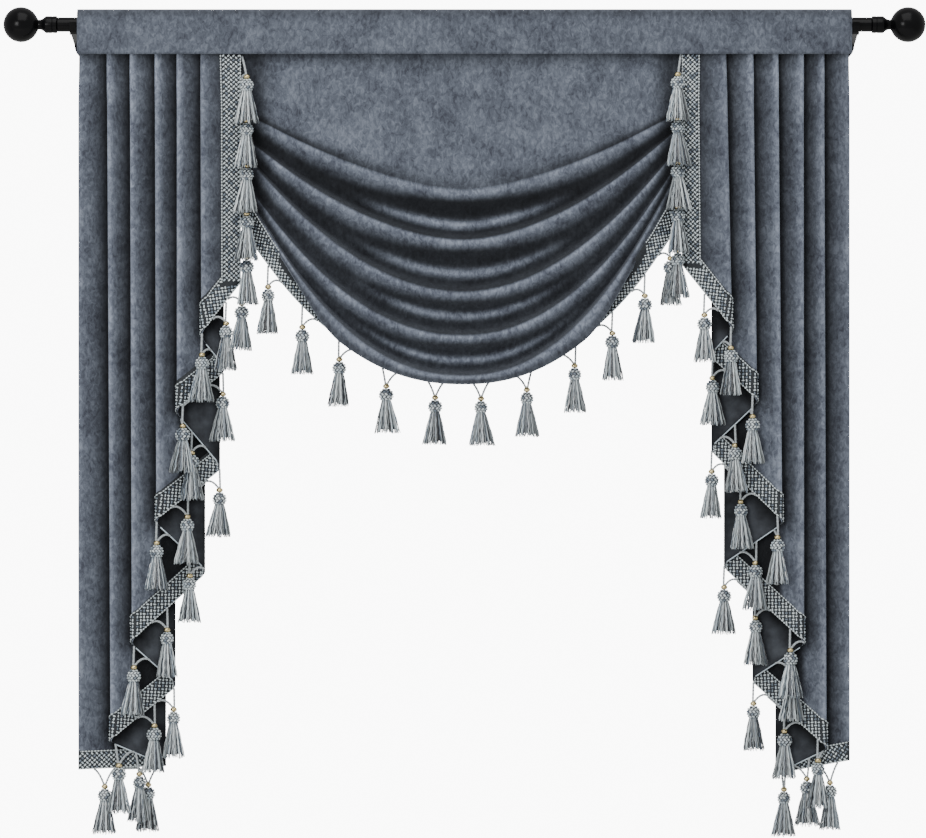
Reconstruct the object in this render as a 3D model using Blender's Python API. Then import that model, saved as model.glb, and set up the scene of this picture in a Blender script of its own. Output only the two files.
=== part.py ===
"""Waterfall valance on its rod: a header, two pleated cascades, a draped swag, braid and tassels.

The origin lies on the wall, midway between the brackets, at the height of the rod's axis.
The front faces -Y. Sizes are in millimetres and become metres as each mesh is made.
"""
import math

import bmesh
import bpy
from mathutils import Vector
from mathutils.bvhtree import BVHTree

MM = 0.001

# Rod, finials and brackets
ROD_OUT = -80.0
ROD_RADIUS = 9.4
ROD_HALF_LENGTH = 526.0
ROD_SIDES = 24
FINIAL_START = 526.3
FINIAL_PROFILE = (
    # distance from the rod's end, radius
    (0.0, 11.1),
    (14.6, 11.1),
    (15.6, 10.2),
    (21.5, 6.6),
    (24.0, 6.2),
)
BALL_CENTRE = 46.7
BALL_RADIUS = 22.8
BALL_RINGS = 8
BALL_SIDES = 18
PLATE_CENTRE = 489.0
PLATE_DROP = -20.0
PLATE_RADIUS = 21.5
PLATE_THICK = 4.0
ARM_INNER = 501.0
ARM_WIDTH = 8.6
ARM_FOOT_TOP = -16.5
ARM_FOOT_BOTTOM = -23.5
CRADLE_INNER = 9.7
CRADLE_OUTER = 13.5

# Header: a rod pocket of one strip folded over the rod
HEADER_HALF_LENGTH = 500.0
HEADER_HALF_THICK = 1.0
HEADER_FOOT = -38.7
POCKET_RADIUS = 10.7
POCKET_CENTRE = 8.3
POCKET_STEPS = 6
BACK_STRAIGHT_TO = -10.0
BACK_SEAM_FROM = -26.0
BACK_SEAM_PANELS = -63.5
BACK_SEAM_SWAG = -83.2
SEAM_STEP_START = 192.0
SEAM_STEP_END = 262.0
HEADER_STATIONS = (SEAM_STEP_END, 248.0, 234.0, 220.0, 206.0, SEAM_STEP_START)

# Cloth and trims
CLOTH_HALF_THICK = 0.8
PIECE_GAP = 0.3
BRAID_WIDTH = 24.0
BRAID_THICK = 1.4
CLOTH_TOP = -28.0
BRAID_TOP = -39.2

# Side panels: each row is a pleat corner, from the inner edge outwards.
# name, distance from the middle at the header, distance at the cut edge, height of the cut edge
PANEL_CORNERS = {
    "left": (
        ("inner edge", 288.3, 288.3, -334.1),
        ("tip 1", 339.9, 338.6, -401.2),
        ("hidden 1", 311.5, 311.5, -446.3),
        ("tip 2", 370.9, 370.9, -499.2),
        ("hidden 2", 317.2, 317.2, -572.8),
        ("tip 3", 399.3, 397.3, -641.1),
        ("hidden 3", 336.8, 336.8, -706.9),
        ("tip 4", 431.5, 428.9, -797.2),
        ("hidden 4", 375.0, 375.0, -854.0),
        ("tip 5", 461.2, 456.5, -924.9),
        ("hidden 5", 387.6, 387.6, -959.8),
        ("outer edge", 497.3, 497.3, -961.1),
    ),
    "right": (
        ("inner edge", 280.6, 280.6, -310.9),
        ("tip 1", 336.7, 344.4, -393.4),
        ("hidden 1", 320.6, 320.6, -427.0),
        ("tip 2", 372.2, 377.3, -486.3),
        ("hidden 2", 320.6, 320.6, -548.2),
        ("tip 3", 404.4, 409.6, -642.4),
        ("hidden 3", 337.3, 337.3, -699.2),
        ("tip 4", 437.3, 438.0, -798.5),
        ("hidden 4", 374.1, 374.1, -847.5),
        ("tip 5", 463.8, 467.0, -934.0),
        ("hidden 5", 403.8, 403.8, -971.4),
        ("outer edge", 496.0, 496.0, -949.4),
    ),
}
SIDES = {"left": -1, "right": 1}
LAST_CORNER = 11
PANEL_FRONT_TOP = -88.6
PANEL_FRONT_LOW = -97.5
LAYER_PITCH_TOP = 3.4
LAYER_PITCH_LOW = 6.8
RELAXED_BELOW = -112.0
SWELL_ROWS = (0.27, 0.56)
FIRST_FACE_SLOPE = 0.3
TIP_BULGE = 3.5
TIP_BULGE_REACH = 12.0
WAVE_HEIGHT = 1.5
WAVE_LENGTH = 17.0
TURN_ARC = 7.0
TURN_MOST = 0.25

# Swag: crest lines of the five folds and the lower edge.
# name, height at the left end, in the middle and at the right end, steepness, how far forward
SWAG_CRESTS = (
    ("fold A", -123.8, -219.3, -121.3, 1.6, 14.0),
    ("fold B", -158.7, -282.5, -144.5, 1.8, 15.0),
    ("fold C", -185.8, -349.6, -172.9, 1.95, 17.0),
    ("fold D", -223.2, -405.1, -194.8, 2.1, 19.0),
    ("fold E", -239.9, -456.7, -209.0, 2.2, 22.0),
)
SWAG_EDGE = ("lower edge", -287.7, -465.2, -274.8, 2.25, 0.0)
SWAG_MIDDLE = -2.0
SWAG_HALF_SPAN = 268.0
SWAG_REACH = 1.09
SWAG_COLUMNS = 16
SWAG_TOP_OUT = -85.5
SWAG_TOP_OUT_ENDS = -82.5
SWAG_OUT = -88.0
SWAG_OUT_ENDS = -79.5
SWAG_FULL_ROOM = 58.0
SWAG_CROWDING = 1.5
SWAG_TUCKED_DEPTH = 0.6
SWAG_TUCK = (0.93, 1.03)
SWAG_APRON = (
    # share of the way from the header to fold A, share of that fold's reach forward
    (0.35, 0.08),
    (0.65, 0.08),
    (0.88, 0.5),
)
SWAG_VALLEY = (
    # share of the way to the next crest, share of the crests' reach in the middle and at the ends
    (0.11, 0.80, 0.90),
    (0.25, 0.20, 0.70),
    (0.42, -0.25, 0.40),
    (0.60, 0.10, 0.00),
    (0.78, -0.20, -0.45),
    (0.91, 0.50, 0.30),
)
BELLY_HIDES_HEM = (0.88, 0.58)
HEM_RAISED = 4.0
HEM_BACK = 15.5
HEM_TURN = 4.0
HEM_TURN_OPEN = 3.0
BELLY = (
    # height over the hem and distance forward where the belly hides the hem, then the share
    # of the way from fold E to the braid and the share of that fold's reach where it does not
    (-1.0, 21.0, 0.30, 0.90),
    (-4.0, 14.0, 0.52, 0.55),
    (-1.0, 7.0, 0.70, 0.25),
    (12.0, -8.5, 0.80, 0.15),
    (28.0, -9.5, 0.88, 0.10),
    (32.0, -12.5, 0.94, 0.05),
)

# Tassels
CORD_SPREAD = 26.0
CORD_DROP = 26.0
CORD_DROP_LEVEL = 22.0
LEVEL_FALL = 18.0
CORD_OFF_EDGE = 1.4
CORD_HALF_WIDTH = 0.75
CORD_PAIR_HALF = 1.0
CORD_TURN = 3.0
BEAD_TO_HEAD = 5.0
TASSEL_DEPTH = 0.8
TASSEL_CLEAR = 0.7
TASSEL_RAYS = 9
TASSEL_LEVELS = 30
HEAD_SIDES = 6
HEAD_PROFILE = (
    # radius, distance below the top of the head
    (2.0, 0.0),
    (8.4, 6.5),
    (5.6, 13.5),
)
LOCK_PROFILE = (
    # radius, distance below the top of the head
    (11.0, 30.0),
    (14.2, 55.0),
)
LOCK_COUNT = 3
LOCK_HALF_ANGLE = 50.0
LOCK_INNER = 0.15
LOCK_UNEVEN = 2.5
LOCK_TURN = 2.4
SKIRT_LOW = 33.75
SIDE_ROUNDNESS = 0.9
EDGE_TASSELS = {
    # height of the upper attachment of each tassel on the inner edge
    "left": (-42.6, -99.3, -157.4, -219.3, -276.1),
    "right": (-39.5, -96.8, -153.5, -210.3, -267.0),
}
INNER_HANG = {"left": 6.5, "right": 4.5}
CUT_TASSELS = {
    # upper attachments along the cut edge: pleat corner number, then the share of the way to the next
    "left": (0.0, 0.38, 0.98, 2.08, 2.85, 3.37, 4.03, 4.52, 5.02, 5.67, 6.53, 7.10, 8.07, 8.35,
             9.12, 9.46, 10.12, 10.60),
    "right": (0.46, 0.97, 2.05, 2.88, 3.49, 4.03, 4.44, 4.92, 5.45, 6.02, 6.41, 6.82, 7.25,
              8.05, 8.45, 8.87, 9.35, 9.78, 10.60),
}
JOINED_TASSELS = {
    # first tassel of each pair that one cord joins, so that the object keeps to 60 nodes
    "left": (1, 3, 9, 12, 22),
    "right": (1, 3, 11, 15, 19),
}
SWAG_LOOPS = (
    # distance of each loop's left end from the middle
    -252.4, -208.6, -161.7, -106.3, -49.7, 8.0, 62.3, 121.2, 171.2, 216.3, 250.8,
)
CUT_STEP = 0.01
HEM_STEP = 0.5
FAR_IN_FRONT = -400.0

# Colours
VELVET = (0.115, 0.125, 0.17, 1.0)
SILVER_BLUE = (0.42, 0.50, 0.58, 1.0)
BLACK = (0.012, 0.012, 0.013, 1.0)


def lerp(start, end, share):
    """The value a share of the way from start to end."""
    return start + (end - start) * share


def ease(share):
    """A smooth step from 0 to 1."""
    share = max(0.0, min(1.0, share))
    return share * share * (3.0 - 2.0 * share)


def material(name, colour, roughness, metallic=0.0):
    """A plain Principled material."""
    made = bpy.data.materials.new(name)
    made.use_nodes = True
    shader = made.node_tree.nodes["Principled BSDF"]
    shader.inputs["Base Color"].default_value = colour
    shader.inputs["Roughness"].default_value = roughness
    shader.inputs["Metallic"].default_value = metallic
    return made


def add_object(name, body, finish):
    """Turn a bmesh in millimetres into a smooth-shaded object in metres."""
    bmesh.ops.recalc_face_normals(body, faces=body.faces)
    bmesh.ops.scale(body, vec=(MM, MM, MM), verts=body.verts)
    mesh = bpy.data.meshes.new(name)
    body.to_mesh(mesh)
    body.free()
    mesh.shade_smooth()
    mesh.set_sharp_from_angle(angle=math.radians(45))
    mesh.materials.append(finish)
    made = bpy.data.objects.new(name, mesh)
    bpy.context.scene.collection.objects.link(made)
    return made


# Sheets


def grid_normals(grid):
    """The unit normal at each point of a grid, towards the cloth's right side."""
    rows = len(grid)
    columns = len(grid[0])
    normals = []
    for row in range(rows):
        line = []
        for column in range(columns):
            along = grid[row][min(column + 1, columns - 1)] - grid[row][max(column - 1, 0)]
            down = grid[min(row + 1, rows - 1)][column] - grid[max(row - 1, 0)][column]
            line.append(down.cross(along).normalized())
        normals.append(line)
    return normals


def shifted(grid, normals, distance):
    """A grid moved along its normals."""
    return [
        [point + normal * distance for point, normal in zip(points, directions)]
        for points, directions in zip(grid, normals)
    ]


def mirrored(grid, side):
    """A grid with its distances from the middle turned to the left or right side."""
    return [[Vector((point.x * side, point.y, point.z)) for point in row] for row in grid]


def slab(front, back, cells):
    """A closed sheet between two grids of points, over the chosen cells only."""
    body = bmesh.new()
    corners = {}
    rim = {}

    def corner(face, place):
        key = (face, place)
        if key not in corners:
            grid = back if face else front
            corners[key] = body.verts.new(grid[place[0]][place[1]])
        return corners[key]

    for row, column in cells:
        loop = [(row, column), (row + 1, column), (row + 1, column + 1), (row, column + 1)]
        for half in (loop[:3], [loop[0], *loop[2:]]):
            body.faces.new([corner(0, place) for place in half])
            body.faces.new([corner(1, place) for place in reversed(half)])
        for start, end in zip(loop, loop[1:] + loop[:1]):
            if (end, start) in rim:
                del rim[(end, start)]
            else:
                rim[(start, end)] = True
    for start, end in rim:
        body.faces.new([corner(0, end), corner(0, start), corner(1, start), corner(1, end)])
    return body


def all_cells(grid):
    """Every cell of a grid."""
    return [(row, column) for row in range(len(grid) - 1) for column in range(len(grid[0]) - 1)]


# Header


def header_section(distance):
    """The middle line of the rod pocket, from its front foot over the rod to its back foot."""
    toward_panels = ease((distance - SEAM_STEP_START) / (SEAM_STEP_END - SEAM_STEP_START))
    seam = lerp(BACK_SEAM_SWAG, BACK_SEAM_PANELS, toward_panels)
    front = ROD_OUT - POCKET_RADIUS
    back = ROD_OUT + POCKET_RADIUS
    line = [(front, HEADER_FOOT), (front, ROD_RADIUS - POCKET_RADIUS)]
    for step in range(POCKET_STEPS + 1):
        angle = math.pi * (1.0 - step / POCKET_STEPS)
        out = ROD_OUT + POCKET_RADIUS * math.cos(angle)
        line.append((out, POCKET_CENTRE + POCKET_RADIUS * math.sin(angle)))
    line += [(back, BACK_STRAIGHT_TO), (seam, BACK_SEAM_FROM), (seam, HEADER_FOOT)]
    return line


def make_header(finish):
    """The rod pocket that carries the panels and the swag."""
    stations = [HEADER_HALF_LENGTH, *HEADER_STATIONS]
    stations = [-station for station in stations] + stations[::-1]
    sections = [header_section(abs(station)) for station in stations]
    grid = [
        [Vector((station, *section[row])) for station, section in zip(stations, sections)]
        for row in range(len(sections[0]))
    ]
    normals = grid_normals(grid)
    outer = shifted(grid, normals, HEADER_HALF_THICK)
    inner = shifted(grid, normals, -HEADER_HALF_THICK)
    return add_object("header", slab(outer, inner, all_cells(grid)), finish)


# Side panels


def corner_distance(corner, height):
    """How far a pleat corner is from the middle at a height."""
    name, at_header, at_edge, edge_height = corner
    return lerp(at_header, at_edge, (CLOTH_TOP - height) / (CLOTH_TOP - edge_height))


def pleats_passed(corners, distance, height):
    """How many pleat tips lie between the first tip and a distance, as a smooth count."""
    tips = [corner_distance(corners[index], height) for index in range(1, LAST_CORNER + 1, 2)]
    for count in range(len(tips) - 1):
        if distance <= tips[count + 1]:
            return count + (distance - tips[count]) / (tips[count + 1] - tips[count])
    return len(tips) - 1.0


def layer_out(corners, run, distance, height):
    """The depth of one layer of the pleated stack, negative to the front."""
    relaxed = ease((BRAID_TOP - height) / (BRAID_TOP - RELAXED_BELOW))
    front = lerp(PANEL_FRONT_TOP, PANEL_FRONT_LOW, relaxed)
    pitch = lerp(LAYER_PITCH_TOP, LAYER_PITCH_LOW, relaxed)
    index = run - 2.0 * pleats_passed(corners, distance, height)
    if run == 0:
        index *= FIRST_FACE_SLOPE
    depth = front + pitch * index + relaxed * WAVE_HEIGHT * math.sin(distance / WAVE_LENGTH)
    if run % 2 == 0 and run + 1 < LAST_CORNER:
        to_tip = corner_distance(corners[run + 1], height) - distance
        depth -= relaxed * TIP_BULGE * ease(1.0 - to_tip / TIP_BULGE_REACH)
    return depth


def fold_at(corners, corner, height):
    """The fold that turns one layer into the next: centre distance, centre depth, radius, direction."""
    distance = corner_distance(corners[corner], height)
    outward = 1.0 if corner % 2 else -1.0
    gap = layer_out(corners, corner, distance, height) - layer_out(corners, corner - 1, distance, height)
    centre = distance - outward * gap / 2.0
    front = layer_out(corners, corner - 1, centre, height)
    back = layer_out(corners, corner, centre, height)
    return centre, (front + back) / 2.0, (back - front) / 2.0, outward


def turn_share(corners, run):
    """The share of a run that each of its quarter turns takes."""
    length = abs(corners[run + 1][2] - corners[run][2])
    return min(TURN_ARC / length, TURN_MOST)


def panel_point(corners, edge, height):
    """A point of the panel's middle surface, at an edge coordinate and a height."""
    run = min(int(edge), LAST_CORNER - 1)
    along = edge - run
    turn = turn_share(corners, run)
    starts = run > 0
    ends = run + 1 < LAST_CORNER
    if starts and along < turn:
        centre, middle, radius, outward = fold_at(corners, run, height)
        angle = math.radians(90.0 * (1.0 - along / turn))
        distance = centre + outward * radius * math.sin(angle)
        return Vector((distance, middle + radius * math.cos(angle), height))
    if ends and along > 1.0 - turn:
        centre, middle, radius, outward = fold_at(corners, run + 1, height)
        angle = math.radians(90.0 * (1.0 - (1.0 - along) / turn))
        distance = centre + outward * radius * math.sin(angle)
        return Vector((distance, middle - radius * math.cos(angle), height))
    start_share = turn if starts else 0.0
    end_share = 1.0 - turn if ends else 1.0
    start = fold_at(corners, run, height)[0] if starts else corner_distance(corners[run], height)
    end = fold_at(corners, run + 1, height)[0] if ends else corner_distance(corners[run + 1], height)
    distance = lerp(start, end, (along - start_share) / (end_share - start_share))
    return Vector((distance, layer_out(corners, run, distance, height), height))


def panel_columns(corners):
    """The edge coordinates of the panel's columns."""
    columns = []
    for run in range(LAST_CORNER):
        length = abs(corners[run + 1][2] - corners[run][2])
        turn = turn_share(corners, run)
        if run == 0:
            shares = [0.0, BRAID_WIDTH / length]
        else:
            shares = [0.0, turn / 2.0, turn, 0.5]
        if run % 2 == 0:
            shares.append(1.0 - turn - TIP_BULGE_REACH / 2.0 / length)
        shares += [1.0 - turn, 1.0 - turn / 2.0]
        columns += [run + share for share in shares]
    columns.append(float(LAST_CORNER))
    return columns


def cut_height(corners, edge):
    """The height of the slanted cut edge."""
    run = min(int(edge), LAST_CORNER - 1)
    return lerp(corners[run][3], corners[run + 1][3], edge - run)


def band_rise(corners, run):
    """The upright reach of the braid on a run, wider where the edge is steep."""
    slope = (corners[run + 1][3] - corners[run][3]) / (corners[run + 1][2] - corners[run][2])
    return BRAID_WIDTH * math.hypot(1.0, slope)


def band_height(corners, edge):
    """The upright reach of the braid, blended from corner to corner."""
    run = min(int(edge), LAST_CORNER - 1)
    before = (band_rise(corners, max(run - 1, 0)) + band_rise(corners, run)) / 2.0
    after = (band_rise(corners, run) + band_rise(corners, min(run + 1, LAST_CORNER - 1))) / 2.0
    return lerp(before, after, edge - run)


def panel_grid(corners):
    """The points of the panel's middle surface, in rows from the header down."""
    columns = panel_columns(corners)
    heights = []
    for edge in columns:
        foot = cut_height(corners, edge)
        braid = foot + band_height(corners, edge)
        swell = [lerp(BRAID_TOP, RELAXED_BELOW, share) for share in SWELL_ROWS]
        heights.append((CLOTH_TOP, BRAID_TOP, *swell, RELAXED_BELOW, braid, foot))
    return [
        [panel_point(corners, edge, column[row]) for edge, column in zip(columns, heights)]
        for row in range(len(heights[0]))
    ]


def make_panel(name, velvet, trim):
    """One cascade and the braid along its inner and slanted edges."""
    corners = PANEL_CORNERS[name]
    side = SIDES[name]
    grid = panel_grid(corners)
    normals = grid_normals(grid)
    levels = (CLOTH_HALF_THICK, -CLOTH_HALF_THICK)
    front, back = (mirrored(shifted(grid, normals, level), side) for level in levels)
    cloth = add_object("panel_" + name, slab(front, back, all_cells(grid)), velvet)
    near = CLOTH_HALF_THICK + PIECE_GAP
    front, back = (mirrored(shifted(grid, normals, level), side) for level in (near + BRAID_THICK, near))
    last_row = len(grid) - 2
    cells = [cell for cell in all_cells(grid) if cell[0] == last_row or (cell[1] == 0 and cell[0] > 0)]
    braid = add_object("braid_" + name, slab(front, back, cells), trim)
    return cloth, braid


# Swag


def swag_line(line, across):
    """The height of a crest line or of the lower edge."""
    name, left, middle, right, steepness, forward = line
    end = left if across < 0 else right
    return lerp(middle, end, abs(across) ** steepness)


def swag_reaches(heights, scale):
    """How far forward each fold stands, less where the folds crowd together."""
    gaps = [above - below for above, below in zip(heights, heights[1:])]
    rooms = [min(pair) for pair in zip([gaps[0], *gaps], [*gaps, gaps[-1]])]
    shares = [min(1.0, room / SWAG_FULL_ROOM) ** SWAG_CROWDING for room in rooms]
    return [line[5] * scale * share for line, share in zip(SWAG_CRESTS, shares)]


def swag_column(across):
    """One column of the swag's middle surface, from the header down to its hem."""
    tuck = ease((abs(across) - SWAG_TUCK[0]) / (SWAG_TUCK[1] - SWAG_TUCK[0]))
    top_out = lerp(SWAG_TOP_OUT, SWAG_TOP_OUT_ENDS, tuck)
    out = lerp(SWAG_OUT, SWAG_OUT_ENDS, tuck)
    to_end = min(abs(across), 1.0) ** 2
    heights = [swag_line(line, across) for line in SWAG_CRESTS]
    reaches = swag_reaches(heights, lerp(1.0, SWAG_TUCKED_DEPTH, tuck))
    points = [(top_out, CLOTH_TOP), (top_out, BRAID_TOP)]
    for share, forward in SWAG_APRON:
        depth = lerp(top_out, out, share) - reaches[0] * forward
        points.append((depth, lerp(BRAID_TOP, heights[0], share)))
    for index, reach in enumerate(reaches):
        points.append((out - reach, heights[index]))
        if index + 1 < len(reaches):
            for share, middle, end in SWAG_VALLEY:
                forward = lerp(reach, reaches[index + 1], share) * lerp(middle, end, to_end)
                points.append((out - forward, lerp(heights[index], heights[index + 1], share)))
    start, full = BELLY_HIDES_HEM
    hidden = ease((start - abs(across)) / (start - full))
    hem = swag_line(SWAG_EDGE, across) + HEM_RAISED * hidden
    braid_top = hem + BRAID_WIDTH
    for over_hem, forward_hidden, share, forward_open in BELLY:
        height = lerp(lerp(heights[-1], braid_top + HEM_TURN_OPEN, share), hem + over_hem, hidden)
        points.append((out - lerp(reaches[-1] * forward_open, forward_hidden, hidden), height))
    back = out + HEM_BACK * math.sqrt(hidden)
    turn = lerp(HEM_TURN_OPEN, HEM_TURN, hidden)
    points += [(back, braid_top + turn), (back, braid_top), (back, hem)]
    return [Vector((SWAG_MIDDLE + SWAG_HALF_SPAN * across, *point)) for point in points]


def swag_grid():
    """The points of the swag's middle surface, in rows from the header down."""
    steps = range(SWAG_COLUMNS + 1)
    columns = [swag_column(SWAG_REACH * (2.0 * step / SWAG_COLUMNS - 1.0)) for step in steps]
    return [list(row) for row in zip(*columns)]


def make_swag(velvet, trim):
    """The draped swag and the braid on its hem."""
    grid = swag_grid()
    normals = grid_normals(grid)
    front, back = (shifted(grid, normals, level) for level in (CLOTH_HALF_THICK, -CLOTH_HALF_THICK))
    cloth = add_object("swag", slab(front, back, all_cells(grid)), velvet)
    hem = grid[-2:]
    near = CLOTH_HALF_THICK + PIECE_GAP
    front, back = (shifted(hem, normals[-2:], level) for level in (near + BRAID_THICK, near))
    braid = add_object("braid_swag", slab(front, back, all_cells(hem)), trim)
    return cloth, braid


# Tassels


class Tassel:
    """Where one tassel hangs: two ends of its cord, its bead, its head and the foot of its skirt."""

    def __init__(self, first, second, bead):
        self.ends = sorted((first, second), key=lambda end: math.atan2(end.x - bead.x, end.z - bead.z))
        self.bead = bead
        self.head = bead - Vector((0.0, 0.0, BEAD_TO_HEAD))
        self.foot = self.head - Vector((0.0, 0.0, LOCK_PROFILE[-1][1]))

    def centre(self, drop):
        """The middle of the tassel, a distance below the top of its head."""
        return lerp(self.head, self.foot, drop / LOCK_PROFILE[-1][1])


def hung_bead(upper, lower):
    """A bead hangs under the upper end of a steep loop, and under the middle of a level one."""
    level = ease(1.0 - (upper.z - lower.z) / LEVEL_FALL)
    steep_place = upper - Vector((0.0, 0.0, CORD_DROP))
    level_place = (upper + lower) / 2.0 - Vector((0.0, 0.0, CORD_DROP_LEVEL))
    return lerp(steep_place, level_place, level)


def below_edge(point, after):
    """A point just off a slanted edge, square to it and downwards."""
    along = (after - point).normalized()
    down = Vector((0.0, 0.0, -1.0))
    return point + (down - along * down.dot(along)).normalized() * CORD_OFF_EDGE


def walk(edge_point, start, distance, step):
    """The coordinate that lies a distance further along an edge."""
    here = edge_point(start)
    travelled = 0.0
    while travelled < distance:
        start += step
        there = edge_point(start)
        travelled += (there - here).length
        here = there
    return start


def loop_on(edge_point, start, step):
    """A tassel whose cord loop hangs from an edge."""
    finish = walk(edge_point, start, CORD_SPREAD, step)
    first = below_edge(edge_point(start), edge_point(start + step))
    second = below_edge(edge_point(finish), edge_point(finish + step))
    upper, lower = (first, second) if first.z > second.z else (second, first)
    return Tassel(first, second, hung_bead(upper, lower))


def panel_tassels(name):
    """The tassels of one side panel, from the header down and outwards."""
    corners = PANEL_CORNERS[name]
    side = SIDES[name]
    toward_middle = Vector((-side, 0.0, 0.0))

    def inner_point(height):
        point = panel_point(corners, 0.0, max(height, corners[0][3]))
        return Vector((point.x * side, point.y, height)) + toward_middle * CORD_OFF_EDGE

    def cut_point(edge):
        edge = min(edge, float(LAST_CORNER))
        point = panel_point(corners, edge, cut_height(corners, edge))
        return Vector((point.x * side, point.y, point.z))

    made = []
    for height in EDGE_TASSELS[name]:
        upper = inner_point(height)
        lower = inner_point(max(height - CORD_SPREAD, corners[0][3] + CORD_OFF_EDGE))
        bead = upper + toward_middle * INNER_HANG[name] - Vector((0.0, 0.0, CORD_DROP))
        made.append(Tassel(upper, lower, bead))
    for edge in CUT_TASSELS[name]:
        made.append(loop_on(cut_point, edge, CUT_STEP))
    return made


def swag_tassels():
    """The tassels of the swag, from left to right."""
    grid = swag_grid()
    hem = grid[-1]

    def hem_point(distance):
        for left, right in zip(hem, hem[1:]):
            if distance <= right.x:
                return left.lerp(right, (distance - left.x) / (right.x - left.x))
        return hem[-1]

    return [loop_on(hem_point, place, HEM_STEP) for place in SWAG_LOOPS]


def width_at(drop):
    """The radius of a tassel, a distance below the top of its head."""
    profile = HEAD_PROFILE + LOCK_PROFILE
    for above, below in zip(profile, profile[1:]):
        if drop <= below[1]:
            return lerp(above[0], below[0], (drop - above[1]) / (below[1] - above[1]))
    return profile[-1][0]


def clear_out(trees, tassel, drop):
    """How far back the middle of a tassel may lie at one level, in front of all behind it."""
    centre = tassel.centre(drop)
    radius = width_at(drop)
    limit = 0.0
    for step in range(-TASSEL_RAYS, TASSEL_RAYS + 1):
        share = step / TASSEL_RAYS
        start = Vector((centre.x + share * (radius + TASSEL_CLEAR), FAR_IN_FRONT, centre.z))
        half_depth = TASSEL_DEPTH * radius * math.sqrt(1.0 - SIDE_ROUNDNESS * share * share)
        for tree in trees:
            place = tree.ray_cast(start, Vector((0.0, 1.0, 0.0)))[0]
            if place is not None:
                limit = min(limit, place.y - half_depth - TASSEL_CLEAR)
    return limit


def bring_forward(trees, tassel):
    """Hang a tassel in front of the cloth and the tassels behind it."""
    levels = [LOCK_PROFILE[-1][1] * step / TASSEL_LEVELS for step in range(TASSEL_LEVELS + 1)]
    limits = [(drop, clear_out(trees, tassel, drop)) for drop in levels]
    split = HEAD_PROFILE[-1][1]
    head_out = min([tassel.head.y] + [limit for drop, limit in limits if drop <= split])
    foot_out = min([head_out] + [limit for drop, limit in limits if drop > SKIRT_LOW])
    for drop, limit in limits:
        share = drop / levels[-1]
        over = max(0.0, lerp(head_out, foot_out, share) - limit)
        head_out -= over
        foot_out -= over
    tassel.head.y = head_out
    tassel.bead.y = head_out
    tassel.foot.y = foot_out


def extrude_along(body, face, rings):
    """Extrude a face through rings of points and return the last face."""
    corners = list(face.verts)
    body.faces.remove(face)
    for ring in rings:
        made = [body.verts.new(point) for point in ring]
        for index, corner in enumerate(corners):
            after = (index + 1) % len(corners)
            body.faces.new([corner, corners[after], made[after], made[index]])
        corners = made
    return body.faces.new(corners)


def cord_rings(points):
    """Square sections along a cord, one at each point after the first."""
    corners = ((-1.0, -1.0), (1.0, -1.0), (1.0, 1.0), (-1.0, 1.0))
    square = [Vector((x, y, 0.0)) * CORD_HALF_WIDTH for x, y in corners]
    rings = []
    for index in range(1, len(points)):
        before = (points[index] - points[index - 1]).normalized()
        after = before
        if index + 1 < len(points):
            after = (points[index + 1] - points[index]).normalized()
        turn = Vector((0.0, 0.0, 1.0)).rotation_difference((before + after).normalized())
        rings.append([points[index] + turn @ corner for corner in square])
    return rings


def lock_ring(tassel, lock, radius, drop, uneven):
    """The four corners of one lock of the skirt at one level."""
    middle = math.radians(360.0 / LOCK_COUNT * lock)
    centre = tassel.centre(drop) - Vector((0.0, 0.0, uneven))
    spots = [(middle, LOCK_INNER * radius)]
    for turn in (-LOCK_HALF_ANGLE, 0.0, LOCK_HALF_ANGLE):
        spots.append((middle + math.radians(turn), radius))
    return [
        centre + Vector((reach * math.sin(angle), -TASSEL_DEPTH * reach * math.cos(angle), 0.0))
        for angle, reach in spots
    ]


def add_tassel(body, tassel, number, cord_points):
    """Add one tassel's head, skirt locks and cord, and return the faces at the cord's two ends."""
    rings = []
    for radius, drop in HEAD_PROFILE:
        centre = tassel.centre(drop)
        ring = []
        for side in range(HEAD_SIDES):
            angle = math.radians(360.0 / HEAD_SIDES * side)
            offset = Vector((radius * math.sin(angle), -TASSEL_DEPTH * radius * math.cos(angle), 0.0))
            ring.append(body.verts.new(centre + offset))
        rings.append(ring)
    for upper, lower in zip(rings, rings[1:]):
        for side in range(HEAD_SIDES):
            after = (side + 1) % HEAD_SIDES
            body.faces.new([upper[side], upper[after], lower[after], lower[side]])
    neck = body.verts.new(tassel.centre(HEAD_PROFILE[-1][1]))
    for lock in range(LOCK_COUNT):
        first = 2 * lock
        quad = [neck] + [rings[-1][(first + step) % HEAD_SIDES] for step in (-1, 0, 1)]
        face = body.faces.new(quad)
        uneven = LOCK_UNEVEN * math.sin(LOCK_TURN * (number * LOCK_COUNT + lock))
        levels = [
            lock_ring(tassel, lock, radius, drop, uneven * drop / LOCK_PROFILE[-1][1])
            for radius, drop in LOCK_PROFILE
        ]
        extrude_along(body, face, levels)
    top = rings[0]
    right = body.faces.new([top[0], top[1], top[2], top[3]])
    left = body.faces.new([top[3], top[4], top[5], top[0]])
    ends = []
    for face, points in zip((left, right), cord_points):
        corners = cord_rings(points)
        if face is left:
            corners = [[ring[2], ring[3], ring[0], ring[1]] for ring in corners]
        ends.append(extrude_along(body, face, corners))
    return ends


def cord_path(tassel, index):
    """The cord from the top of the head past the bead to one of its ends."""
    sideways = Vector(((-1.0, 1.0)[index] * CORD_PAIR_HALF, 0.0, 0.0))
    return [tassel.head, tassel.bead + sideways, tassel.ends[index]]


def make_single(name, tassel, number, finish):
    """One tassel as an object of its own."""
    body = bmesh.new()
    add_tassel(body, tassel, number, [cord_path(tassel, 0), cord_path(tassel, 1)])
    return add_object(name, body, finish)


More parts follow.
